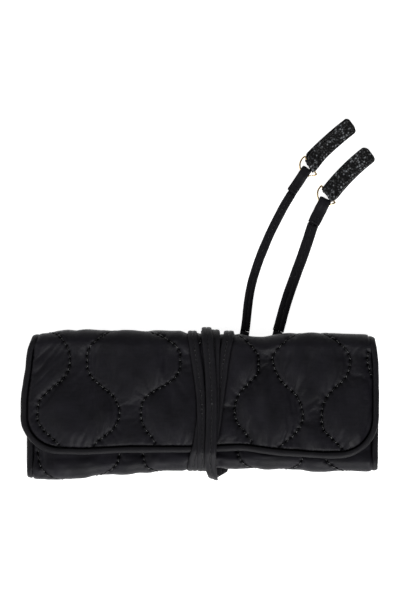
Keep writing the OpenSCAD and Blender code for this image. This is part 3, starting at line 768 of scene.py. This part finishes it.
def puff_by_cloth():
    """Blender's cloth: a slack sheet pinned at every stitch hole and blown up from below."""
    scale = 0.01
    ns, nx = GX.shape
    co = np.stack([GX.ravel(), GS.ravel(), np.full(GX.size, EDGE_H)], 1)
    co[:, 2] += 0.08 * value_noise(GX.ravel(), GS.ravel(), 3.0, 9)
    pin = np.zeros(co.shape[0])
    rim = (outside > -0.7).ravel()
    pin[rim] = 1
    co[rim, 2] = EDGE_H
    for row in holes:
        for p in row:
            v = np.ravel_multi_index(nearest(p), GX.shape)
            co[v] = (p[0], p[1], HOLE_H)
            pin[v] = 1
    me = bpy.data.meshes.new("sim")
    me.from_pydata((co * scale).tolist(), [], grid_quads(ns, nx).reshape(-1, 4).tolist())
    o = link(bpy.data.objects.new("sim", me))
    g = o.vertex_groups.new(name="pin")
    g.add([int(i) for i in np.nonzero(pin)[0]], 1.0, "REPLACE")
    # the cloth is cut wider than it is quilted; sewing draws it in, so that it folds lengthwise
    ease = 0.05 + 0.035 * value_noise(GX, GS * 0.2, 12.0, 12)
    ahead = np.cumsum(STEP * ease, axis=1)
    loose = co.copy()
    loose[:, 0] += (ahead - ahead[:, [GX.shape[1] // 2]]).ravel()
    loose[:, 1] *= 1.022
    loose[:, 2] = EDGE_H
    me.vertices.foreach_set("co", (loose * scale).ravel())
    o.shape_key_add(name="cut")
    sewn = o.shape_key_add(name="sewn")
    sewn.data.foreach_set("co", (co * scale).ravel())
    for value, at in ((0, 1), (1, 9)):
        sewn.value = value
        sewn.keyframe_insert("value", frame=at)
    m = o.modifiers.new("cloth", "CLOTH")
    c = m.settings
    for key, value in dict(
        quality=5, mass=0.3, tension_stiffness=30, compression_stiffness=30, shear_stiffness=10,
        bending_stiffness=0.05, tension_damping=5, compression_damping=5, shear_damping=5, bending_damping=0.5,
        vertex_group_mass="pin", pin_stiffness=1, use_pressure=True, uniform_pressure_force=2,
    ).items():
        setattr(c, key, value)
    c.effector_weights.gravity = 0
    m.collision_settings.use_collision = False
    frames = 26
    m.point_cache.frame_start, m.point_cache.frame_end = 1, frames
    scene = bpy.context.scene
    for f in range(1, frames + 1):
        scene.frame_set(f)
    done = o.evaluated_get(bpy.context.evaluated_depsgraph_get())
    a = np.zeros(co.size)
    done.data.vertices.foreach_get("co", a)
    a = a.reshape(ns, nx, 3) / scale
    action = me.shape_keys.animation_data.action
    bpy.data.objects.remove(o)
    bpy.data.meshes.remove(me)
    bpy.data.actions.remove(action)
    scene.frame_set(1)
    return a[..., 0], a[..., 1], a[..., 2]


PX, PS, PH = puff_by_cloth()
PX = GX + np.clip(PX - GX, -1.5, 1.5)
PS = GS + np.clip(PS - GS, -1.5, 1.5)


def blur(a, r):
    k = np.exp(-0.5 * (np.arange(-3 * r, 3 * r + 1) / r) ** 2)
    k = k / k.sum()
    smooth = lambda v: np.convolve(np.pad(v, 3 * r, mode="edge"), k, mode="valid")
    return np.apply_along_axis(smooth, 1, np.apply_along_axis(smooth, 0, a))


# wadding fills the pockets between the seams to an even thickness; the cover's own folds stay on top of it
LOFT, OWN_FOLDS, DRAPE, GROOVE = 2.7, 0.62, 1.3, 1.4
broad = blur(PH, int(4 / STEP))
loft = np.clip((PH - HOLE_H) / 3.0, 0, 1)
PH = LOFT * np.tanh(broad / LOFT) + OWN_FOLDS * (PH - broad)
drape = value_noise(PX + 3.0 * value_noise(PX, PS, 30.0, 61), PS * 0.2, 8.0, 62)
along = smoothstep((GS - S_FLAP + 8) / 10) * smoothstep((S_BACK + 8 - GS) / 10)
along = along + smoothstep((GS - S_BACK_END + 8) / 10) * smoothstep((S_FRONT + 8 - GS) / 10)
rise = (PH - 2.2) * (1 - 0.5 * along) + 0.5 * along + DRAPE * drape * loft * (1 - 0.4 * along)
rise = rise - GROOVE * smoothstep((outside + 1.3) / 1.1) * (1 - 0.5 * along)

# ---- where the tie runs
# each run's route over the front, from the top edge to the bottom edge, and its height in the stack, by y
RUNS = {
    "a": ([(-5.5, 48), (-3.3, 32), (-1.3, 19), (0.6, 2), (1.0, -16), (1.1, -36), (1.2, -48)],
          [(48, 0.0), (20, 0.0), (-8, 0.8), (-48, 0.8)]),
    "b": ([(3.7, 48), (5.4, 32), (6.5, 19), (7.2, 0), (6.9, -20), (6.4, -38), (8.6, -48)],
          [(48, 2.3), (30, 2.1), (0, 2.4), (-30, 2.4), (-48, 1.6)]),
    "c": ([(9.4, 48), (9.0, 32), (8.9, 17), (8.9, 0), (8.1, -14), (7.0, -26)],
          [(48, 0.7), (20, 1.0), (0, 1.1), (-26, 0.9)]),
    "d": ([(18.8, 48), (15.6, 32), (12.9, 12), (11.3, 0), (9.4, -15), (6.9, -26), (6.1, -36), (6.0, -48)],
          [(48, 0.0), (20, 0.0), (0, 0.0), (-48, 0.2)]),
    "e": ([(2.6, 8), (1.7, -2), (0.7, -12), (-1.0, -25), (-3.4, -35), (-5.5, -48)], [(8, 0.0), (-48, 0.0)]),
}
PRESS = -0.7     # where the tie's under face lies, against the cover's own face


def soft_min(a, b, k):
    low = np.minimum(a, b)
    return low - np.log(np.exp(-k * (a - low)) + np.exp(-k * (b - low))) / k


def press_down(rise):
    """Keeps the cover under the tie, under the flap and off the table."""
    y = np.interp(GS, WRAP_S, WRAP_P[:, 0])
    cap = np.full(GX.shape, 9.0)
    on_top = GS < S_BACK - 4
    strip = (GS > S_BACK_END + 6) & (y < -40)
    for route, _ in RUNS.values():
        pts = spline(route, 1.0)
        lo, hi = pts[:, 1].min(), pts[:, 1].max()
        yy = np.clip(y, -48, 48)
        away = np.abs(GX - np.interp(yy, pts[::-1, 1], pts[::-1, 0])) - WRAP_W / 2
        past = np.maximum(np.maximum(lo - yy, yy - hi), 0)
        here = PRESS - 0.15 + 0.42 * np.hypot(np.maximum(away, 0), past)
        cap = np.where(on_top | strip, np.minimum(cap, here), cap)
    under_flap = np.interp(y, [-42, -36.5, -33.5, 50], [9, 1.6, -0.15, -0.15])
    cap = np.where(GS > S_FRONT, np.minimum(cap, under_flap), cap)
    on_table = (GS > S_BACK - 6) & (GS < S_BACK_END + 6)
    cap = np.where(on_table, np.minimum(cap, 0.75), cap)
    on_spine = ((GS > S_FLAP) & (GS < S_BACK)) | ((GS > S_BACK_END) & (GS < S_FRONT))
    cap = np.where(on_spine, np.minimum(cap, 0.9), cap)
    for route, w in BACK_STRAPS:
        pts = spline(route, 1.0)
        away = np.full(GX.shape, 99.0)
        for a in pts[::2]:
            away = np.minimum(away, np.hypot(GX - a[0], y - a[1]))
        here = -0.35 + 0.4 * np.maximum(away - w / 2, 0)
        cap = np.where(on_table, np.minimum(cap, here), cap)
    return soft_min(rise, cap, 2.2)


BACK_STRAPS = [    # routes over the back, and widths
    ([(-5.4, -42.6), (-5.2, -20), (-4.8, 20), (-4.7, 45)], WRAP_W),
    ([(6.7, -42.5), (5.5, -20), (4.4, 20), (3.8, 46.4)], WRAP_W),
    ([(9, -4), (9.2, 20), (9.3, 45.2)], WRAP_W),
    ([(12, -4), (15.4, 20), (18.7, 45)], WRAP_W),
    ([(1.8, -43.6), (8, -22), (19, 14), (27, 38), (28.9, 46)], STRAP_W),
    ([(12.9, -46.2), (19.6, -30), (34, 6), (47, 36), (50.4, 46)], STRAP_W),
]
DIMPLE, PIT, DEEPEST, TABLE_GAP = 0.45, 1.6, -4.5, 0.12
rise = press_down(rise)
SEWN = fold_up(PX, PS, -rise)
for row in holes:
    for p in row:
        i, j = nearest(p)
        rise[max(i - 1, 0):i + 2, max(j - 1, 0):j + 2] -= DIMPLE
        rise[i, j] -= PIT
rise = np.maximum(rise, DEEPEST)
COVER = fold_up(PX, PS, -rise)
for grid in (SEWN, COVER):
    grid[..., 2] = np.maximum(grid[..., 2], TABLE_GAP)


def slab(name, outer, inner, rows, stride, mask_limit, material):
    """A closed pad or cloth between two grids over the rows given."""
    i0, i1 = rows
    ri = np.unique(np.concatenate([np.arange(i0, i1, stride), [i1]]))
    ci = np.unique(np.concatenate([np.arange(0, GX.shape[1] - 1, stride), [GX.shape[1] - 1]]))
    sub = np.ix_(ri, ci)
    a, b, d = outer[sub], inner[sub], outside[sub]
    ns, nx = d.shape
    good = d < mask_limit
    cell = good[:-1, :-1] & good[:-1, 1:] & good[1:, 1:] & good[1:, :-1]
    quads = grid_quads(ns, nx)[cell]
    flip = quads[:, ::-1] + ns * nx
    sides = np.concatenate([quads[:, [0, 1]], quads[:, [1, 2]], quads[:, [2, 3]], quads[:, [3, 0]]])
    key = np.sort(sides, axis=1)
    _, first, count = np.unique(key[:, 0] * (ns * nx) + key[:, 1], return_index=True, return_counts=True)
    rim = sides[first[count == 1]]
    walls = np.stack([rim[:, 1], rim[:, 0], rim[:, 0] + ns * nx, rim[:, 1] + ns * nx], 1)
    used = np.zeros(2 * ns * nx, bool)
    faces = np.concatenate([quads, flip, walls])
    used[faces.ravel()] = True
    new = np.cumsum(used) - 1
    pts = np.concatenate([a.reshape(-1, 3), b.reshape(-1, 3)])[used]
    uv = np.stack([GX[sub], GS[sub]], -1).reshape(-1, 2)
    uv = np.concatenate([uv, uv + (400, 0)])[used]
    o = make_mesh(name, pts, new[faces], uv, material)
    return o


def row_of(s):
    return int(np.argmin(np.abs(ss - s)))


R_TOP = row_of((S_TOP + S_TOP_END) / 2)
R_BACK = row_of((S_BACK + S_BACK_END) / 2)
R_BOTTOM = row_of((S_BOTTOM + S_BOTTOM_END) / 2)
HALF_H, BASE_TURN, FRONT_TURN = ROLL_H / 2, BASE_Z + CORNER_R, FRONT_Z - CORNER_R
PARTS = {  # name: rows, the bodies it bends between, and where the bend is, as points on the corner's arc
    "flap": ((0, R_TOP), "top_spine", "flap", (0, HALF_H, FLAP_Z - CORNER_R), (0, CY, FLAP_Z)),
    "back_upper": ((R_TOP, R_BACK), "back", "top_spine", (0, CY, BASE_Z), (0, HALF_H, BASE_TURN)),
    "back_lower": ((R_BACK, R_BOTTOM), "back", "bottom_spine", (0, -CY, BASE_Z), (0, -HALF_H, BASE_TURN)),
    "front": ((R_BOTTOM, len(ss) - 1), "bottom_spine", "front", (0, -HALF_H, FRONT_TURN), (0, -CY, FRONT_Z)),
}
STANDS_FOR = {"flap": ("flap", "top_spine"), "back_upper": ("back", "top_spine"),
              "back_lower": ("back", "bottom_spine"), "front": ("front", "bottom_spine")}


def bend(o, part):
    _, a, b, start, end = PARTS[part]
    [v * MM for v in start]
    [v * MM for v in end]
    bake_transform(o)


def replaces(o, part, layer):
    """The piece stands for one layer of the two shell panels that it spans: their CAD parts are hidden."""
    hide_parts(*[f"{body}_{layer}" for body in STANDS_FOR[part]])


under = fold_up(GX, GS, QUILT_T - 0.02)
lining_out = fold_up(GX, GS, QUILT_T + 0.03)
wrinkles = value_noise(GX, GS * 0.7, 13.0, 41) + 0.5 * value_noise(GX * 1.3, GS, 5.0, 42)
lining_in = fold_up(GX, GS, SHELL_T - 0.1 + 0.22 * wrinkles)
cover_pieces, lining_pieces = {}, {}
for part in PARTS:
    rows = PARTS[part][0]
    cover = slab(f"cover_{part}", COVER, under, rows, 1, 1.7, SATIN)
    cover_pieces[part] = cover
    lining = slab(f"lining_{part}", lining_in, lining_out, rows, 2, 2.2, LINING)
    lining.data.flip_normals()
    lining_pieces[part] = lining
    replaces(cover, part, "quilt")
    replaces(lining, part, "lining")

normals = unit(np.cross(np.gradient(SEWN, axis=1), np.gradient(SEWN, axis=0)))


# ---- quilting thread
def grid_at(values, i, j):
    i, j = np.clip(i, 0, values.shape[0] - 1.001), np.clip(j, 0, values.shape[1] - 1.001)
    a, b = np.floor(i).astype(int), np.floor(j).astype(int)
    s, t = (i - a)[..., None], (j - b)[..., None]
    return ((values[a, b] * (1 - s) + values[a + 1, b] * s) * (1 - t)
            + (values[a, b + 1] * (1 - s) + values[a + 1, b + 1] * s) * t)


threads = {part: Shape() for part in PARTS}
t = np.array([0.03, 0.1, 0.2, 0.35, 0.5, 0.65, 0.8, 0.9, 0.97])
lift = np.array([-1.3, -0.6, -0.15, 0.12, 0.22, 0.12, -0.15, -0.6, -1.3])[:, None]
aslant = 0.3 * np.linspace(1, -1, len(t))[:, None]
for row in holes:
    for p, q in zip(row[:-1], row[1:]):
        (i0, j0), (i1, j1) = nearest(p), nearest(q)
        at = i0 + (i1 - i0) * t, j0 + (j1 - j0) * t
        base, n = grid_at(SEWN, *at), unit(grid_at(normals, *at))
        line = base + n * lift + np.cross(unit(np.gradient(base, axis=0)), n) * aslant
        line[:, 2] = np.maximum(line[:, 2], 0.34)
        mid = (i0 + i1) / 2
        part = next(k for k, v in PARTS.items() if v[0][0] <= mid <= v[0][1])
        threads[part].add(*thread(line, 0.31, n))
for part, shape in threads.items():
    o = shape.make(f"quilting_thread_{part}", THREAD)
    bend(o, part)


# ---- edge binding
def binding_profile(w, t):
    """(outward, depth) round a folded binding strip, from its seam on the outer face to its seam inside."""
    return [(0.1, 3.2), (0.15, 1.8), (0.3, 1.1), (0.7, 0.75), (1.3, 0.62), (2.1, 0.66), (2.9, 0.86),
            (w - 0.45, 1.3), (w - 0.1, 1.8), (w, t / 2), (w - 0.1, t - 1.7), (w - 0.45, t - 0.95),
            (3.0, t - 0.42), (2.3, t - 0.12), (1.5, t - 0.02), (0.7, t - 0.1), (0.1, t - 0.3),
            (-0.35, t - 0.6), (-0.5, t - 1.2), (-0.2, t / 2)]


def seam_line(part):
    """The seam's outline over one part, in flat coordinates, as one or two lines."""
    lo, hi = ss[list(PARTS[part][0])]
    if part in ("back_upper", "back_lower"):
        s = np.arange(lo, hi + 0.01, 1.0)
        s[-1] = hi
        return [np.stack([-half_width(s), s], 1), np.stack([half_width(s), s], 1)[::-1]]
    r = (FLAP_R if part == "flap" else FRONT_R) - BINDING
    if part == "flap":
        edge, far, way = BINDING, hi, 1
    else:
        edge, far, way = S_ALL - BINDING, lo, -1
    hw = float(half_width(edge + way * r))
    s = np.linspace(far, edge + way * r, max(2, int(abs(far - edge) / 1.0)))
    left = np.stack([-half_width(s), s], 1)
    a = np.linspace(0, math.pi / 2, max(6, int(r * 1.6)))
    corner = np.stack([-(hw - r) - r * np.cos(a), edge + way * (r - r * np.sin(a))], 1)
    count = int(2 * (hw - r))
    across = np.stack([np.linspace(-(hw - r), hw - r, count), np.full(count, edge)], 1)
    right = np.concatenate([corner[::-1] * (-1, 1), left[::-1] * (-1, 1)])
    return [np.concatenate([left, corner[1:], across[1:-1], right])]


def make_binding(part):
    s = Shape()
    prof = np.array(binding_profile(BINDING, SHELL_T))
    over, depth = prof.T[:, None]
    k = np.arange(len(prof))[None, :]
    for line in seam_line(part):
        t = unit(np.gradient(line, axis=0))
        out = np.stack([t[:, 1], -t[:, 0]], 1)
        probe = outline_distance(*(line + out * 0.5).T) - outline_distance(*(line - out * 0.5).T)
        out = out * np.sign(np.median(probe))
        gone = walked(line)[:, None]
        wobble = 1 + 0.05 * value_noise(gone, 0, 14.0, 51) + 0.03 * value_noise(gone, 0, 4.0, 52)
        W = over * np.where(over > 0.5, wobble, 1)
        gone = gone + 0 * W
        pucker = 0.2 * value_noise(gone, 0 * W + k * 0.6, 2.3, 53) + 0.2 * value_noise(gone, 0 * W, 6.0, 54)
        mid = SHELL_T / 2
        D = mid + (depth - mid) * (1 - 0.06 + pucker * 0.25) + pucker * smoothstep((over - 0.3) / 1.0) * 0.5
        pts = fold_up(line[:, 0, None] + out[:, 0, None] * W, line[:, 1, None] + out[:, 1, None] * W, D)
        uv = np.stack([walked(prof)[None, :] + 0 * W, gone], -1)
        s.add(pts.reshape(-1, 3), tube_faces(len(line), len(prof)), uv.reshape(-1, 2))
    o = s.make(f"binding_{part}", BINDING_M)
    face_out(o)
    replaces(o, part, "binding")
    return o


bindings = {part: make_binding(part) for part in PARTS}
for part in PARTS:
    bend(bindings[part], part)

# the covers' and linings' transforms are baked into their meshes
for part, cover in cover_pieces.items():
    bend(cover, part)
for part, lining in lining_pieces.items():
    first, last = PARTS[part][0]
    bend(lining, part)


# ---- the tie round the roll
def wrap_line(name, ease_low):
    """A run of the tie over the closed roll, as the middle of its under face, with normals."""
    h, r = HALF_H, CORNER_R
    route, lifts = RUNS[name]
    y_top, y_low = max(p[1] for p in route), min(p[1] for p in route)
    rows = []     # (y, z, normal's y, normal's z)

    def round_corner(y, z, a):
        rows.append((y + r * math.cos(a), z + r * math.sin(a), math.cos(a), math.sin(a)))

    if y_top > h:
        rows += [(h, z, 1, 0) for z in np.arange(2.0, FLAP_Z - r, 1.5)]
        for a in np.arange(0, 90.1, 7.5):
            round_corner(CY, FLAP_Z - r, math.radians(a))
    rows += [(y, FLAP_Z, 0, 1) for y in np.arange(min(CY - 1.5, y_top), max(FLAP_FREE + 1.6, y_low), -1.5)]
    if y_low < -h:
        # off the flap's edge, straight on to the bottom roll, round it and down
        rows.append((FLAP_FREE + 0.6, FLAP_Z - 0.1, -0.25, 0.97))
        e = np.array([FLAP_FREE - 0.1, FLAP_Z - 0.6])
        c = np.array([-CY, FRONT_Z - r])
        touch = math.atan2(*(e - c)[::-1]) + math.acos(r / math.dist(e, c))
        n = np.array([math.cos(touch), math.sin(touch)])
        rows += [(*(e + (c + r * n - e) * t), *n) for t in np.linspace(0, 1, 8)[:-1]]
        for a in np.linspace(touch, math.pi, 8):
            round_corner(*c, a)
        rows += [(-h, z, -1, 0) for z in np.arange(FRONT_Z - r - 1.5, 2.0, -1.5)]
    y0, z0, ny, nz = np.array(rows, float).T
    ny, nz = unit(np.stack([ny, nz], 1)).T
    plan = spline(route, 1.0)
    x = np.interp(y0, plan[::-1, 1], plan[::-1, 0])
    lift = PRESS + np.interp(y0, *zip(*lifts[::-1]))
    y = y0 + ny * lift + bottom_dy(x) * smoothstep((-y0 - 30) / 16) * ease_low
    line = np.stack([x, y, z0 + nz * lift], 1)
    gone = walked(line)
    at = np.linspace(0, gone[-1], int(gone[-1] / 1.1))
    line = at_distance(at, gone, line)
    up = at_distance(at, gone, np.stack([ny * 0, ny, nz], 1))
    for v in (line, up) * 3:
        v[1:-1] = (v[:-2] + 2 * v[1:-1] + v[2:]) / 4
    return line, unit(up)


def slant(o, x_mid, y_from, reach, slope):
    """Leans a strap's turn at the roll's edge, where it goes on to the other side at an angle."""
    co = np.zeros(len(o.data.vertices) * 3)
    o.data.vertices.foreach_get("co", co)
    co = co.reshape(-1, 3)
    w = smoothstep((co[:, 1] / MM - y_from) / reach)
    co[:, 1] += slope * (co[:, 0] - x_mid * MM) * w
    o.data.vertices.foreach_set("co", co.ravel())
    o.data.update()


for name, ease_low, width in (("a", 1.0, 6.6), ("b", 0.1, 7.4), ("c", 0, 7.0), ("d", 1.0, 7.2),
                              ("e", 0.9, 7.2)):
    line, up = wrap_line(name, ease_low)
    o = strap_piece(f"tie_run_{name}", line, up, width, 1.25, seed=ord(name), ripple=0.07,
                    widths=1 - 0.13 * smoothstep((np.abs(line[:, 1]) - 42) / 5))
    if name == "b":
        slant(o, 3.4, -36.0, -8.0, -0.34)
    face_out(o)
    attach(o, "back")
    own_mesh(o)
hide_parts("tie_front_runs")

for k, (route, w) in enumerate(BACK_STRAPS):
    flat = spline(route, 1.4)
    line = np.column_stack([flat, np.full(len(flat), 0.05)])
    flare = 1 + (0.6 if k == 5 else 0) * smoothstep((-flat[:, 1] - 34) / 9)
    o = strap_piece(f"tie_back_{k + 1}", line, (0, 0, 1), w - 0.3, 0.98, seed=70 + k, both=True, widths=flare)
    if k == 5:
        slant(o, 14.6, -38.0, -7.0, 1.0)
    face_out(o)
    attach(o, "back")
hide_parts("tie_back_runs")


# ---- pockets and lining pieces inside
def flat_sheet(name, pieces, body, rise_out, material, seed, amount=0.25, facing=1):
    """Cloth sewn flat over a lining: softly wrinkled on the face that shows, flat behind."""
    s = Shape()
    for node in pieces:
        (x0, y0, z0), (x1, y1, z1) = (np.array(corner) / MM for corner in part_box(node))
        nx, ny = int((x1 - x0) / 1.6) + 1, max(4, int((y1 - y0) / 1.6) + 1)
        X, Y = np.meshgrid(np.linspace(x0, x1, nx), np.linspace(y0, y1, ny))
        edge = np.minimum.reduce([X - x0, x1 - X, Y - y0, y1 - Y])
        n = value_noise(X, Y * 0.6, 12.0, seed) + 0.5 * value_noise(X * 1.2, Y, 4.5, seed + 1)
        pucker = np.exp(-edge / 2.5) * value_noise(X, Y, 1.9, seed + 2) * 0.12 * smoothstep(edge / 0.8)
        face = smoothstep((edge - 0.6) / 2.2) * (rise_out + amount * n) + pucker
        face = face - 0.3 + 0.18 * smoothstep(edge / 0.5)
        front, behind = (z1, z0) if facing > 0 else (z0, z1)
        a = np.stack([X, Y, front + facing * face], -1).reshape(-1, 3)
        b = np.stack([X, Y, np.full(X.shape, behind)], -1).reshape(-1, 3)
        count = nx * ny
        idx = np.arange(count).reshape(ny, nx)
        quads = grid_quads(ny, nx).reshape(-1, 4)
        rim = np.concatenate([idx[0, :], idx[1:, -1], idx[-1, -2::-1], idx[-2:0:-1, 0]])
        nxt = np.roll(rim, -1)
        walls = np.stack([rim, rim + count, nxt + count, nxt], 1)
        uv = np.stack([X, Y], -1).reshape(-1, 2)
        s.add(np.concatenate([a, b]), np.concatenate([quads, quads[:, ::-1] + count, walls]).tolist(),
              np.concatenate([uv, uv + (300, 0)]))
    o = s.make(name, material)
    face_out(o)
    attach(o, body)
    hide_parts(*pieces)
    return o


def edge_stitches(name, corners_line, z, facing, body):
    """A line of stitches on a flat lining piece."""
    s = Shape()
    line = resample(corners_line, 0.4)
    gone = walked(line)
    for q in spans(1.2, gone[-1] - 0.1, 2.1, 2.7):
        row = np.column_stack([at_distance(q, gone, line), z + facing * dive(-0.15, 0.05, 0.1)])
        s.add(*thread(row, 0.16, (0, 0, facing), 5))
    o = s.make(name, THREAD)
    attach(o, body)


for name, pieces, body, facing, flat, seed in (
    ("zip_pocket_cloth", ("zip_pocket_lower", "zip_pocket_upper"), "back", 1, (0.204, 0.065), 80),
    ("flap_pocket_cloth", ("flap_pocket",), "flap", -1, (0.204, 0.0375), 85),
    ("front_pocket_cloth", ("front_pocket",), "front", -1, (0.204, 0.028), 90),
):
    o = flat_sheet(name, pieces, body, 0.12, LINING, seed, 0.15, facing)
for name, node, body in (("flap_pocket_binding", "flap_pocket_hem", "flap"),
                         ("front_pocket_binding", "front_pocket_hem", "front")):
    flat_sheet(name, (node,), body, 0.05, BINDING_M, 120, 0.05, -1)

for name, node, body, facing in (("flap_pocket_stitching", "flap_pocket", "flap", -1),
                                 ("front_pocket_stitching", "front_pocket", "front", -1),
                                 ("zip_pocket_stitching_upper", "zip_pocket_upper", "back", 1),
                                 ("zip_pocket_stitching_lower", "zip_pocket_lower", "back", 1)):
    lo, hi = (np.array(corner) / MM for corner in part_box(node))
    (x0, y0), (x1, y1) = lo[:2] + 1.3, hi[:2] - 1.3
    z = hi[2] - 0.08 if facing > 0 else lo[2] + 0.08
    if body == "flap":
        route = [(x0, y0 + 3), (x0, y1), (x1, y1), (x1, y0 + 3)]
    elif body == "front":
        route = [(x0, y1 - 3), (x0, y0), (x1, y0), (x1, y1 - 3)]
    else:
        route = [(x0, y0), (x1, y0), (x1, y1), (x0, y1), (x0, y0)]
    edge_stitches(name, route, z, facing, body)


# ---- the ring bar
BAR_R, BAR_LEFT, BAR_RIGHT, AROUND = 6.0, -90.0, 84.0, 40


def make_ring_bar():
    """The stuffed bar that rings are kept on, gathered at both ends into its flat tabs."""
    lo, hi = (np.array(corner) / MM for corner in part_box("ring_bar"))
    r, y, zc, long = BAR_R, (lo[1] + hi[1]) / 2, lo[2] + BAR_R, BAR_RIGHT - BAR_LEFT
    quarter = math.pi / 2
    u = np.concatenate([[-r], -r + r * (1 - np.cos(np.linspace(0.25, quarter, 9))),
                        np.arange(1.5, long - 1, 1.5), long + r * np.sin(np.linspace(0, quarter - 0.25, 9)),
                        [long + r]])
    u = np.unique(np.round(u, 4))
    over = np.maximum(np.maximum(-u, u - long), 0)
    rad = np.sqrt(np.clip(r * r - over * over, 0.2, None)) - 0.12
    U, A = np.meshgrid(u, np.linspace(0, 2 * math.pi, AROUND, endpoint=False), indexing="ij")
    near_end = smoothstep(1 - np.minimum(U + r, long + r - U) / 16)
    gather = 0.28 * near_end * np.cos(A * 13 + 1.2 * value_noise(U, A * 3, 6.0, 92))
    folds = 0.14 * value_noise(U * 0.35, A * 3.2, 2.0, 93)
    folds = folds + 0.1 * value_noise(U, A / (2 * math.pi) * 24, 3.0, 91)
    seam = -0.35 * np.exp(-(((A - math.pi * 1.5) / 0.12) ** 2))
    R = rad[:, None] + np.minimum(gather + folds + seam, 0.1)
    pts = np.stack([BAR_LEFT + U, y + R * np.cos(A), zc + R * np.sin(A)], -1).reshape(-1, 3)
    s = Shape()
    s.add(pts, tube_faces(len(u), AROUND), np.stack([A * r, U], -1).reshape(-1, 2))
    tab = [(-4.5, 0.5), (-4.35, 0.9), (-3.8, 1.0), (-3.0, 0.92), (0, 0.95), (3.0, 0.92), (3.8, 1.0),
           (4.35, 0.9), (4.5, 0.5), (4.35, 0.08), (3.6, 0.02), (0, 0.04), (-3.6, 0.02), (-4.35, 0.08)]
    for x0, x1, z in ((lo[0], BAR_LEFT + 1.5, lo[2]), (BAR_RIGHT - 1.5, hi[0], 9.8)):
        line = np.stack([np.linspace(x0, x1, 14), np.full(14, y), np.full(14, z)], 1)
        s.add(*sweep(line, (0, 0, 1), tab))
    first = len(s.f)
    for x0, x1, z in ((lo[0] + 1.0, BAR_LEFT - 3, lo[2] + 0.9), (BAR_RIGHT + 3.0, hi[0] - 1.0, 10.7)):
        for v in (-3.4, 3.4):
            for q in spans(x0, x1 + 0.2, 1.8, 2.3):
                row = np.stack([q, np.full(5, y + v), z + dive(-0.12, 0.06, 0.1)], 1)
                s.add(*thread(row, 0.15, (0, 0, 1), 5))
    o = s.make("ring_bar_pad", LINING, THREAD, first)
    face_out(o)
    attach(o, "ring_bar")
    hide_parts("ring_bar")


make_ring_bar()

# ---- metal and tape parts that keep their CAD shape
SOFTENED = {"zip_teeth_lower": ZIP, "zip_teeth_upper": ZIP, "zip_end_stops": ZIP, "zip_slider": ZIP,
            "zip_pull": ZIP, "press_stud_cap": STUD}
FINISH = {"zip_tape_lower": TAPE, "zip_tape_upper": TAPE, "press_stud_post": STUD, "d_ring_left": RING,
          "d_ring_right": RING, "ring_bar_bartack": TAPE}
for node, material in {**SOFTENED, **FINISH}.items():
    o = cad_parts[node]
    o.data.materials.clear()
    o.data.materials.append(material)
    if node in SOFTENED:
        m = o.modifiers.new("soft edges", "BEVEL")
        m.width = 0.00018
        m.segments = 2
        m.limit_method = "ANGLE"
        m.angle_limit = math.radians(40)

# ---- floor and light
bpy.ops.mesh.primitive_plane_add(size=8, location=(0, 0.066, 0))
floor = bpy.context.object
floor.name = "floor"
m = Recipe("floor")
grain = m.add("TexNoise", Scale=3.0, Detail=2.0)["Fac"]
floor.data.materials.append(m.surface(
    Base_Color=m.colours(grain, (0.3, (0.93, 0.93, 0.93)), (0.7, (0.95, 0.95, 0.95))), Roughness=0.9,
    Specular_IOR_Level=0.0, Emission_Color=(1, 1, 1, 1), Emission_Strength=0.85))


def area_light(name, at, size, energy, aim=(0, 0.03, 0.02)):
    d = bpy.data.lights.new(name, "AREA")
    d.energy, d.size = energy, size
    o = link(bpy.data.objects.new(name, d))
    o.location = at
    o.rotation_euler = (Vector(at) - Vector(aim)).to_track_quat("Z", "Y").to_euler()


area_light("key", (0.4, -1.5, 1.1), 0.8, 36)
area_light("fill", (-1.3, -0.25, 1.0), 0.9, 8)
area_light("back", (0.1, 1.35, 1.0), 0.9, 3.5)
world = bpy.data.worlds.new("studio")
bpy.context.scene.world = world
world.use_nodes = True
world.node_tree.nodes["Background"].inputs["Color"].default_value = (1, 1, 1, 1)
world.node_tree.nodes["Background"].inputs["Strength"].default_value = 0.1
bpy.context.scene.view_settings.view_transform = "Standard"
